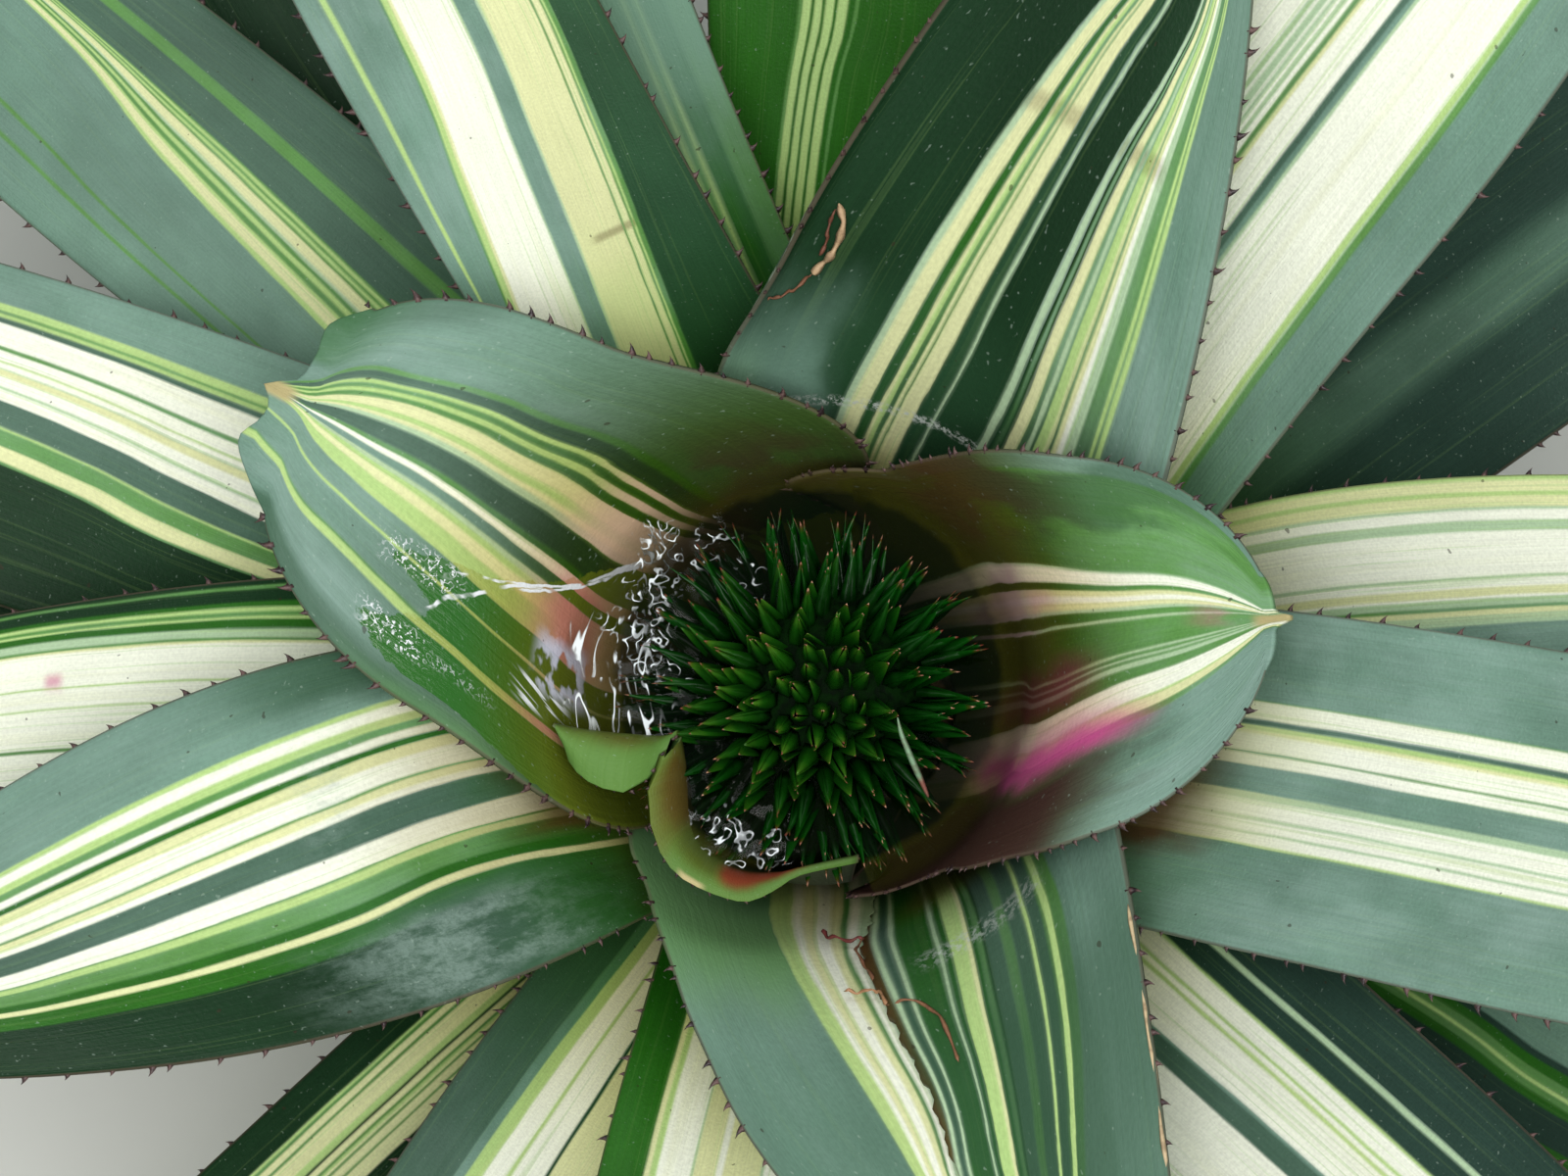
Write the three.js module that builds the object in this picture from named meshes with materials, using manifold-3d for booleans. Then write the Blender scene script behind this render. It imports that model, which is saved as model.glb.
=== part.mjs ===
// A striped rosette plant: a short stem, twenty-six spiralling leaves, a pool of water in the
// cup of the leaves and a domed flower head in the pool. Millimetres and degrees, +Z up.
// The origin is the middle of the stem's flat cut at ground level.
import * as THREE from "three";
import { mergeVertices } from "three/addons/utils/BufferGeometryUtils.js";
import Module from "manifold-3d";

// Rosette: it leans a little from upright, about the origin
const LEAN = 10;
const LEAN_TOWARDS = 205;

// Stem: the innermost leaf leaves it at STEM_HIGH and the outermost at STEM_LOW
const STEM_HIGH = 62;
const STEM_LOW = 12;
const STEM_RADIUS_HIGH = 14;
const STEM_RADIUS_LOW = 20;
const STEM_FOOT_RADIUS = 21;
const STEM_SIDES = 28;
const STEM_TOP = 62.5;
const STEM_BURIED = 12;
const BLOCK_SIZE = 400;

// Flower head: a dome on a short stalk, covered with pointed bracts
const HEAD_FOOT = 62.85;
const STALK_RADIUS = 8.5;
const STALK_TOP = 73;
const DOME_UNDER = 78;
const DOME_HEIGHT = 87;
const DOME_RADIUS = 18.5;
const DOME_RISE = 11.5;
const BRACT_COUNT = 66;
const BRACT_LENGTH = 5.6;
const BRACT_WIDTH = 4.6;
const BRACT_LOWEST = 102;
const BRACT_SUNK = 2.5;
const HEAD_SIDES = 24;
const GOLDEN_ANGLE = Math.PI * (3 - Math.sqrt(5));

// Water: its level above the ground, what keeps it off the leaves and the head, and the
// sectors where it reaches out to another leaf than the innermost
const WATER_LEVEL = 90;
const WATER_CLEARANCE = 1.4;
const HEAD_CLEARANCE = 0.5;
const POOL_SIDES = 60;
const POOL_HEIGHTS = [64.2, 68, 74, 80, 86, 92, 98];
const SHEATHS_TOP = 74;
const SECTOR_EDGE = 5;
const POOL_SECTORS = [
  { from: -72, to: 73, order: 1 },
  { from: 82, to: 197, order: 2 },
];

// Leaf blades: thin where they sheathe the stem, thickest in the middle of the blade
const LEAF_OFF_STEM = 0.8;
const SHEATH_THICKNESS = 1.1;
const BLADE_THICKNESS = 2.4;
const TIP_THICKNESS = 1.3;
const MARGIN_SHARE = 0.55;
const COLUMNS = 8;
const BASE_STATIONS = [0, 9, 17, 26, 36, 50];
const BLADE_STATIONS = 5;

// Elevation of a leaf along its length, in degrees at distances from its base. The innermost
// leaf follows the first row and the outermost the last, the others lie in between.
const BEND = [
  { share: 0.0, at: [0, 9, 16, 34, 48, 62, 95, 125], angle: [52, 56, 70, 80, 62, 34, 26, 20] },
  { share: 0.3, at: [0, 12, 24, 42, 62, 92, 150, 240], angle: [32, 38, 56, 58, 46, 34, 20, -8] },
  { share: 1.0, at: [0, 14, 30, 52, 80, 120, 180, 260], angle: [24, 30, 38, 36, 28, 14, -6, -28] },
];

// Leaves from the innermost to the outermost. turn is the direction that a leaf grows in,
// sheath, neck and width its breadth at the stem, at the rim of the cup and in the blade,
// swell the distance over which it grows to its width, taper the share of its length where it
// starts to narrow and power how late it does, droop a lower blade, sweep a sideways bend of
// the blade and recurve the drop of its tip.
const LEAVES = [
  { name: "inner_bract", turn: 238, length: 43, width: 36, sheath: 34, round: true },
  { name: "cup_leaf_right", turn: 3, length: 84, width: 52, neck: 68, low_neck: 74, round: true },
  {
    name: "cup_leaf_left", turn: 152, length: 93, width: 56, neck: 70, low_neck: 84, droop: 4,
    round: true,
  },
  {
    name: "torn_leaf", turn: 290, length: 130, width: 95, taper: 0.1, power: 1.2, sweep: 6,
    recurve: 2, torn: true,
  },
  { name: "leaf_04", turn: 59, length: 150, width: 83, taper: 0.08, power: 1.3, sweep: 2 },
  {
    name: "leaf_05", turn: 200, length: 158, width: 58, sheath: 34, swell: 110, taper: 0.3,
    power: 1.8, recurve: 3,
  },
  { name: "leaf_06", turn: 346, length: 212, width: 43, taper: 0.5, recurve: 4 },
  { name: "leaf_07", turn: 116, length: 212, width: 34, taper: 0.5, recurve: 4 },
  { name: "leaf_08", turn: 266, length: 205, width: 44, sweep: -2, recurve: 5 },
  { name: "leaf_09", turn: 45, length: 220, width: 46, sweep: 1, recurve: 6 },
  {
    name: "leaf_10", turn: 185, length: 200, width: 44, taper: 0.3, power: 1.8, sweep: 2,
    recurve: 5,
  },
  { name: "leaf_11", turn: 315, length: 220, width: 44, sweep: 2, recurve: 6 },
  { name: "leaf_12", turn: 109, length: 214, width: 32, recurve: 4, dark: true },
  { name: "leaf_13", turn: 243, length: 220, width: 42, recurve: 6 },
  {
    name: "leaf_14", turn: 3, length: 205, width: 44, taper: 0.3, power: 1.7, sweep: -3,
    recurve: 8,
  },
  { name: "leaf_15", turn: 162, length: 228, width: 44, recurve: 6 },
  { name: "leaf_16", turn: 296, length: 224, width: 42, sweep: -3, recurve: 9 },
  { name: "leaf_17", turn: 86, length: 226, width: 42, recurve: 7 },
  { name: "leaf_18", turn: 229, length: 226, width: 42, sweep: -2, recurve: 8 },
  { name: "leaf_19", turn: 350, length: 230, width: 42, sweep: -3, recurve: 10 },
  { name: "leaf_20", turn: 140, length: 234, width: 39, recurve: 8 },
  { name: "leaf_21", turn: 274, length: 230, width: 42, sweep: 3, recurve: 10, dark: true },
  { name: "leaf_22", turn: 30, length: 215, width: 40, sweep: 2, recurve: 12, dark: true },
  { name: "leaf_23", turn: 178, length: 228, width: 42, sweep: 3, recurve: 9, dark: true },
  { name: "leaf_24", turn: 330, length: 232, width: 42, sweep: 2, recurve: 12, dark: true },
  { name: "leaf_25", turn: 124, length: 228, width: 42, sweep: -2, recurve: 8, dark: true },
];
const LAST = LEAVES.length - 1;

// The tear that splits one leaf lengthwise: where across the leaf, from where, how far apart
const TEAR_ACROSS = -0.12;
const TEAR_START = 46;
const TEAR_WIDTH = 3.2;
const TEAR_LIFT = 1.2;

const MERGE_DISTANCE = 1e-4;

const COLOURS = {
  stem: 0x7a6a48,
  head: 0x14301b,
  water: 0x1c2b27,
  leaf: 0x8a9c78,
  dark: 0x35523f,
};

const rad = (degrees) => (degrees * Math.PI) / 180;
const clamp01 = (x) => Math.min(1, Math.max(0, x));
const mix = (a, b, f) => a + (b - a) * f;
const ease = (x) => clamp01(x) ** 2 * (3 - 2 * clamp01(x));

// Slopes of a row of values at uneven distances
function slopes(at, value) {
  const last = at.length - 1;
  return at.map((_, i) => {
    if (i === 0) return (value[1] - value[0]) / (at[1] - at[0]);
    if (i === last) return (value[last] - value[last - 1]) / (at[last] - at[last - 1]);
    const before = at[i] - at[i - 1];
    const after = at[i + 1] - at[i];
    const rise = before ** 2 * value[i + 1] - after ** 2 * value[i - 1];
    return (rise + (after ** 2 - before ** 2) * value[i]) / (before * after * (before + after));
  });
}

// A smooth curve through a row of values
function curveThrough(at, value) {
  const slope = slopes(at, value);
  return (x) => {
    let i = 0;
    while (i < at.length - 2 && x > at[i + 1]) i += 1;
    const h = at[i + 1] - at[i];
    const u = clamp01((x - at[i]) / h);
    const a = (1 + 2 * u) * (1 - u) ** 2 * value[i] + u * (1 - u) ** 2 * h * slope[i];
    return a + u * u * (3 - 2 * u) * value[i + 1] + u * u * (u - 1) * h * slope[i + 1];
  };
}

const stemRadius = (z) =>
  mix(STEM_RADIUS_LOW, STEM_RADIUS_HIGH, (z - STEM_LOW) / (STEM_HIGH - STEM_LOW));

// The curve that a leaf follows away from the stem: radius, height and elevation at a
// distance from its base
function leafPath(order, length, droop = 0) {
  const share = order / LAST;
  const above = BEND.findIndex((row, i) => i > 0 && share <= row.share);
  const [a, b] = [BEND[above - 1], BEND[above]];
  const f = (share - a.share) / (b.share - a.share);
  const at = a.at.map((s, i) => mix(s, b.at[i], f));
  const angle = a.angle.map((e, i) => mix(e, b.angle[i], f));
  const elevation = curveThrough(at, angle);
  const bend = (s) => rad(elevation(s) - droop * clamp01((s - 40) / 60));
  const base = mix(STEM_HIGH, STEM_LOW, share);
  const path = [{ r: stemRadius(base) + LEAF_OFF_STEM, z: base, e: bend(0) }];
  for (let s = 1; s <= Math.ceil(length) + 1; s += 1) {
    const p = path[s - 1];
    const e = bend(s);
    const r = p.r + (Math.cos(p.e) + Math.cos(e)) / 2;
    path.push({ r, z: p.z + (Math.sin(p.e) + Math.sin(e)) / 2, e });
  }
  return (s) => {
    const i = Math.min(path.length - 2, Math.floor(s));
    const [p, q] = [path[i], path[i + 1]];
    return { r: mix(p.r, q.r, s - i), z: mix(p.z, q.z, s - i), e: mix(p.e, q.e, s - i) };
  };
}

// Half the breadth of a leaf on one side of its middle, at a distance from its base
function halfBreadth(leaf, s, side) {
  const f = s / leaf.length;
  const sheath = leaf.sheath ?? Math.min(leaf.width * 1.15, 50);
  const neck = (side < 0 && leaf.low_neck) || leaf.neck;
  let breadth = mix(sheath, leaf.width, ease(s / (leaf.swell ?? 60)));
  if (neck) {
    breadth = s < 40 ? mix(sheath, neck, ease(s / 40)) : mix(neck, leaf.width, ease((s - 40) / 26));
  }
  const start = leaf.taper ?? 0.45;
  const strap = (1 - clamp01((f - start) / (1 - start)) ** (leaf.power ?? 2.2)) ** 0.8;
  const round = (1 - clamp01((f - 0.6) / 0.4) ** 2.6) ** 0.62;
  return (breadth * (leaf.round ? round : strap)) / 2;
}

function leafThickness(leaf, s, v) {
  const rise = mix(SHEATH_THICKNESS, BLADE_THICKNESS, ease((s - 34) / 30));
  const f = s / leaf.length;
  const along = mix(rise, TIP_THICKNESS, ease((f - 0.7) / 0.3));
  return along * (1 - (1 - MARGIN_SHARE) * v * v);
}

// A point of a leaf: s along it, v across it from -1 to 1, and off its middle surface
function leafPoint(leaf, path, s, v, off) {
  const f = s / leaf.length;
  const { r, z, e } = path(s);
  const sweep = rad(leaf.sweep ?? 0) * ease((f - 0.3) / 0.7);
  const turn = rad(leaf.turn) + sweep + (v * halfBreadth(leaf, s, v)) / r;
  const out = off - (leaf.recurve ?? 0) * clamp01((f - 0.7) / 0.3) ** 2;
  const radius = r - Math.sin(e) * out;
  return [radius * Math.cos(turn), radius * Math.sin(turn), z + Math.cos(e) * out];
}

// Geometry from points and the three corners of each face
function facetedGeometry(points, faces) {
  const geometry = new THREE.BufferGeometry();
  geometry.setAttribute("position", new THREE.Float32BufferAttribute(points.flat(), 3));
  geometry.setIndex(faces.flat());
  geometry.computeVertexNormals();
  return geometry;
}

// Closed body between two grids of points, with one shared point at the far end
function closedBlade(upper, lower, tip) {
  const rows = upper.length;
  const width = upper[0].length;
  const points = [...upper.flat(), ...lower.flat(), tip];
  const top = (i, j) => i * width + j;
  const under = (i, j) => rows * width + top(i, j);
  const apex = points.length - 1;
  const faces = [];
  const quad = (a, b, c, d) => faces.push([a, b, c], [a, c, d]);
  for (let i = 0; i < rows - 1; i += 1) {
    for (let j = 0; j < width - 1; j += 1) {
      quad(top(i, j), top(i + 1, j), top(i + 1, j + 1), top(i, j + 1));
      quad(under(i, j), under(i, j + 1), under(i + 1, j + 1), under(i + 1, j));
    }
    quad(top(i, 0), under(i, 0), under(i + 1, 0), top(i + 1, 0));
    const j = width - 1;
    quad(top(i, j), top(i + 1, j), under(i + 1, j), under(i, j));
  }
  for (let j = 0; j < width - 1; j += 1) {
    quad(top(0, j), top(0, j + 1), under(0, j + 1), under(0, j));
    faces.push([top(rows - 1, j), apex, top(rows - 1, j + 1)]);
    faces.push([under(rows - 1, j), under(rows - 1, j + 1), apex]);
  }
  faces.push([top(rows - 1, 0), under(rows - 1, 0), apex]);
  faces.push([top(rows - 1, width - 1), apex, under(rows - 1, width - 1)]);
  return facetedGeometry(points, faces);
}

// Distances along a leaf where its rows of points lie, without the tip
function stations(leaf) {
  const near = BASE_STATIONS.filter((s) => s < leaf.length * 0.7);
  const start = near[near.length - 1];
  const count = leaf.round ? BLADE_STATIONS + 2 : BLADE_STATIONS;
  const reach = leaf.round ? 0.985 : 0.97;
  for (let i = 1; i <= count; i += 1) {
    near.push(mix(start, leaf.length * reach, (i / count) ** 0.85));
  }
  return near;
}

// The part of a leaf between two lines across it, which may change along its length
function bladeBetween(leaf, order, from, to, columns, lift = () => 0) {
  const path = leafPath(order, leaf.length, leaf.droop);
  const grid = (side) =>
    stations(leaf).map((s) =>
      Array.from({ length: columns + 1 }, (_, j) => {
        const v = mix(from(s), to(s), j / columns);
        return leafPoint(leaf, path, s, v, lift(s) + (side * leafThickness(leaf, s, v)) / 2);
      }),
    );
  const end = (from(leaf.length) + to(leaf.length)) / 2;
  const tip = leafPoint(leaf, path, leaf.length, end, lift(leaf.length));
  return closedBlade(grid(1), grid(-1), tip);
}

const wholeLeaf = (leaf, order) => bladeBetween(leaf, order, () => -1, () => 1, COLUMNS);

const wasm = await Module();
wasm.setup();

// Closed geometry as a solid that can be cut and joined
function solidOf(geometry) {
  const bare = geometry.clone().deleteAttribute("normal").deleteAttribute("uv");
  const merged = mergeVertices(bare, MERGE_DISTANCE);
  const corners = Array.from(merged.index.array);
  const triVerts = [];
  for (let i = 0; i < corners.length; i += 3) {
    const [a, b, c] = corners.slice(i, i + 3);
    if (a !== b && b !== c && c !== a) triVerts.push(a, b, c);
  }
  const mesh = new wasm.Mesh({
    numProp: 3,
    vertProperties: merged.attributes.position.array,
    triVerts: new Uint32Array(triVerts),
  });
  return new wasm.Manifold(mesh);
}

function geometryOf(solid) {
  const { vertProperties, triVerts } = solid.getMesh();
  const geometry = new THREE.BufferGeometry();
  geometry.setAttribute("position", new THREE.BufferAttribute(vertProperties, 3));
  geometry.setIndex(new THREE.BufferAttribute(triVerts, 1));
  geometry.computeVertexNormals();
  return geometry;
}

// The largest of the bodies that a cut leaves
const largest = (solid) => solid.decompose().sort((a, b) => b.volume() - a.volume())[0];

// The leaf that is torn: two halves joined at the base, the one lifted over the other
function tornLeaf(leaf, order) {
  const gap = (s) => (s < TEAR_START ? -3 : (TEAR_WIDTH * ease((s - TEAR_START) / 20)) / 2);
  const share = (s) => gap(s) / (halfBreadth(leaf, s, 1) + 1);
  const lift = (s) => TEAR_LIFT * ease((s - TEAR_START) / 40);
  const inner = (s) => Math.min(0.9, TEAR_ACROSS + share(s));
  const outer = (s) => Math.max(-0.9, TEAR_ACROSS - share(s));
  const left = solidOf(bladeBetween(leaf, order, () => -1, outer, COLUMNS / 2));
  const right = solidOf(bladeBetween(leaf, order, inner, () => 1, COLUMNS / 2 + 1, lift));
  return geometryOf(left.add(right));
}

// The rosette's lean, as a rotation about a level axis through the origin
const leanAxis = new THREE.Vector3(-Math.sin(rad(LEAN_TOWARDS)), Math.cos(rad(LEAN_TOWARDS)), 0);
const lean = new THREE.Quaternion().setFromAxisAngle(leanAxis, rad(LEAN));

// Solid of revolution about Z, from [radius, height] pairs going up
function revolved(profile, sides) {
  const outline = profile.map(([radius, height]) => new THREE.Vector2(radius, height));
  return new THREE.LatheGeometry(outline, sides).rotateX(Math.PI / 2);
}

// A wide block between two heights, to cut level faces with
function levelBlock(low, high) {
  const block = new THREE.BoxGeometry(BLOCK_SIZE, BLOCK_SIZE, high - low);
  return solidOf(block.translate(0, 0, (low + high) / 2));
}

function stemGeometry() {
  const profile = [
    [0, -STEM_BURIED],
    [STEM_FOOT_RADIUS + 0.4, -STEM_BURIED],
    [STEM_FOOT_RADIUS, 4],
    [stemRadius(STEM_LOW), STEM_LOW],
    [stemRadius(STEM_HIGH), STEM_HIGH],
    [stemRadius(STEM_HIGH) - 0.6, STEM_TOP],
    [0, STEM_TOP],
  ];
  const leaning = revolved(profile, STEM_SIDES).applyQuaternion(lean);
  return geometryOf(solidOf(leaning).intersect(levelBlock(0, 2 * STEM_TOP)));
}

// One bract: a four-sided spike that grows out of the dome along its own direction
function bractGeometry(index, grow) {
  const share = (index + 0.5) / BRACT_COUNT;
  const polar = rad(BRACT_LOWEST) * share ** 0.55;
  const scale = mix(0.72, 1, ease(share * 2.2));
  const height = (BRACT_LENGTH + BRACT_SUNK) * scale + grow;
  const foot = Math.hypot(DOME_RADIUS * Math.sin(polar), DOME_RISE * Math.cos(polar));
  return new THREE.ConeGeometry((BRACT_WIDTH / 2) * scale + grow, height, 4)
    .rotateX(Math.PI / 2)
    .rotateZ(index)
    .translate(0, 0, foot - BRACT_SUNK * scale + height / 2)
    .rotateY(polar)
    .rotateZ(index * GOLDEN_ANGLE)
    .translate(0, 0, DOME_HEIGHT);
}

// The dome on its stalk with its bracts, grown by a margin where room is cut for it
function headSolid(grow) {
  const profile = [
    [0, HEAD_FOOT - grow],
    [STALK_RADIUS + grow, HEAD_FOOT - grow],
    [STALK_RADIUS + grow, STALK_TOP - grow],
    [DOME_RADIUS * 0.72 + grow, DOME_UNDER - grow],
  ];
  for (let i = -2; i <= 7; i += 1) {
    const a = rad(Math.min(90, i * 13));
    const radius = i === 7 ? 0 : (DOME_RADIUS + grow) * Math.cos(a);
    profile.push([radius, DOME_HEIGHT + (DOME_RISE + grow) * Math.sin(a)]);
  }
  const bracts = Array.from({ length: BRACT_COUNT }, (_, i) => bractGeometry(i, grow));
  return bracts.reduce((head, bract) => head.add(solidOf(bract)), solidOf(revolved(profile, HEAD_SIDES)));
}

// How far out the water reaches in one direction, at a height: to the innermost leaf there
function poolRadius(paths, turn, height) {
  const reach = (order) => {
    let s = 0;
    while (paths[order](s).z < height) s += 0.5;
    return paths[order](s).r - WATER_CLEARANCE;
  };
  const above = ease((height - SHEATHS_TOP) / 11);
  return POOL_SECTORS.reduce((most, { from, to, order }) => {
    const inside = ease(Math.min(turn - from, to - turn) / SECTOR_EDGE) * above;
    return Math.max(most, mix(reach(0), reach(order), inside));
  }, reach(0));
}

function waterGeometry() {
  const paths = [0, 1, 2].map((order) => leafPath(order, 80, LEAVES[order].droop));
  const points = [];
  POOL_HEIGHTS.forEach((height) => {
    for (let i = 0; i < POOL_SIDES; i += 1) {
      const turn = (i * 360) / POOL_SIDES - 90;
      const r = poolRadius(paths, turn, height);
      points.push([r * Math.cos(rad(turn)), r * Math.sin(rad(turn)), height]);
    }
  });
  const floor = points.push([0, 0, POOL_HEIGHTS[0]]) - 1;
  const roof = points.push([0, 0, POOL_HEIGHTS.at(-1)]) - 1;
  const highest = (POOL_HEIGHTS.length - 1) * POOL_SIDES;
  const faces = [];
  for (let i = 0; i < POOL_SIDES; i += 1) {
    const next = (i + 1) % POOL_SIDES;
    for (let ring = 0; ring < highest; ring += POOL_SIDES) {
      const [a, b] = [ring + i, ring + next];
      faces.push([a, b, b + POOL_SIDES], [a, b + POOL_SIDES, a + POOL_SIDES]);
    }
    faces.push([floor, next, i], [roof, highest + i, highest + next]);
  }
  const pool = solidOf(facetedGeometry(points, faces)).subtract(headSolid(HEAD_CLEARANCE));
  const leaning = solidOf(geometryOf(pool).applyQuaternion(lean));
  return geometryOf(largest(leaning.intersect(levelBlock(0, WATER_LEVEL))));
}

function namedMesh(name, geometry, color, roughness) {
  const material = new THREE.MeshStandardMaterial({ color, roughness, metalness: 0 });
  const mesh = new THREE.Mesh(geometry, material);
  mesh.name = name;
  return mesh;
}

const rosette = new THREE.Group();
rosette.quaternion.copy(lean);
rosette.add(namedMesh("flower_head", geometryOf(headSolid(0)), COLOURS.head, 0.35));
LEAVES.forEach((leaf, order) => {
  const geometry = leaf.torn ? tornLeaf(leaf, order) : wholeLeaf(leaf, order);
  rosette.add(namedMesh(leaf.name, geometry, leaf.dark ? COLOURS.dark : COLOURS.leaf, 0.45));
});

const plant = new THREE.Group();
plant.add(namedMesh("stem", stemGeometry(), COLOURS.stem, 0.8));
plant.add(namedMesh("pooled_water", waterGeometry(), COLOURS.water, 0.08));
plant.add(rosette);

export default plant;
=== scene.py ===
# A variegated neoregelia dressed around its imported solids: striped leaves with toothed
# margins, a torn leaf, a pool of water in the cup and a domed flower head in the pool.
# Lengths are millimetres until a mesh is made, angles are degrees, and shapes are worked out
# in the rosette's own frame, which then leans about the origin.
import math

import bpy
import numpy as np
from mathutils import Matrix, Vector


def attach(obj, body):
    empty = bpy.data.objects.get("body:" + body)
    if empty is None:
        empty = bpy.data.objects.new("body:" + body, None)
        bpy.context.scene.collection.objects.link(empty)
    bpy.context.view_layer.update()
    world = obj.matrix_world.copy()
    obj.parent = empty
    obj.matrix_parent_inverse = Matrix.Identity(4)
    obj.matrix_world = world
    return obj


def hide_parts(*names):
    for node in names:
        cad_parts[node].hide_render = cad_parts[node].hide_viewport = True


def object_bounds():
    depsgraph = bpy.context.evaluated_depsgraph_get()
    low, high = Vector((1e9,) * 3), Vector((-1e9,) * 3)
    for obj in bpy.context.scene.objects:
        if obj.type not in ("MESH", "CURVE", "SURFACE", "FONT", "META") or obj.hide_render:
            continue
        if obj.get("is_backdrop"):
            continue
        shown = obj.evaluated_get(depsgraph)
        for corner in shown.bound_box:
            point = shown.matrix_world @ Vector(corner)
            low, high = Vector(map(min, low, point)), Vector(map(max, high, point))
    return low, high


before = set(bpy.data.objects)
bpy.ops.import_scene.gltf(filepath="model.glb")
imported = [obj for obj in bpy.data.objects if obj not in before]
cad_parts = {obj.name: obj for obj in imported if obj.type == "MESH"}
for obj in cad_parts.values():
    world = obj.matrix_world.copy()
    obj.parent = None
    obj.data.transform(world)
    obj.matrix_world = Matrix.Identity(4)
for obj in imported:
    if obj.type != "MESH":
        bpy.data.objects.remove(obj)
cad_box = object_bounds()

MM = 0.001
LEAN, LEAN_TOWARDS = 10.0, 205.0
STEM_HIGH, STEM_LOW = 62.0, 12.0
STEM_RADIUS_HIGH, STEM_RADIUS_LOW, STEM_FOOT_RADIUS = 14.0, 20.0, 21.0
LEAF_OFF_STEM = 0.8
SHEATH_THICKNESS, BLADE_THICKNESS, TIP_THICKNESS = 1.1, 2.2, 1.2
HEAD_FOOT, STALK_RADIUS, STALK_TOP = 62.85, 8.5, 73.0
DOME_UNDER, DOME_HEIGHT = 78.0, 87.0
WATER_LEVEL = 90.0
GOLDEN_ANGLE = math.pi * (3 - math.sqrt(5))

# Elevation of a leaf along its length at distances from its base: the innermost leaf follows
# the first row and the outermost the last
BEND = [
    (0.0, [0, 9, 16, 34, 48, 62, 95, 125], [52, 56, 70, 80, 62, 34, 26, 20]),
    (0.3, [0, 12, 24, 42, 62, 92, 150, 240], [32, 38, 56, 58, 46, 34, 20, -8]),
    (1.0, [0, 14, 30, 52, 80, 120, 180, 260], [24, 30, 38, 36, 28, 14, -6, -28]),
]

# Finishes of a leaf by letter, as 8-bit sRGB
COLOURS = {
    "w": (112, 146, 128),  # waxy green
    "d": (76, 106, 88),  # dull green
    "e": (44, 80, 52),  # deep green
    "k": (24, 54, 30),  # darkest green
    "g": (96, 148, 74),  # fresh green
    "G": (44, 104, 26),  # grass green
    "l": (178, 208, 132),  # light green
    "y": (222, 224, 170),  # yellowish cream
    "c": (244, 246, 228),  # cream
    "s": (176, 202, 164),  # pale sage
    "p": (206, 84, 146),  # pink
    "q": (118, 36, 66),  # dark pink
    "m": (66, 40, 34),  # maroon brown
    "i": (94, 110, 40),  # olive green
    "j": (150, 66, 44),  # rust
    "r": (212, 172, 150),  # rosy cream
    "u": (206, 124, 132),  # dusky pink
    "o": (84, 84, 32),  # olive
    "b": (92, 58, 28),  # brown
    "a": (68, 40, 40),  # dark maroon
    "v": (186, 140, 150),  # faded mauve
    "t": (190, 176, 126),  # straw, of dry tips
    "x": (24, 34, 16),  # deep shade
    "f": (206, 214, 206),  # pale scurf
    "h": (132, 174, 128),  # pale wax on green
    "n": (44, 68, 58),  # bluish shade
    "z": (150, 172, 162),  # grey wax
}

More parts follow.
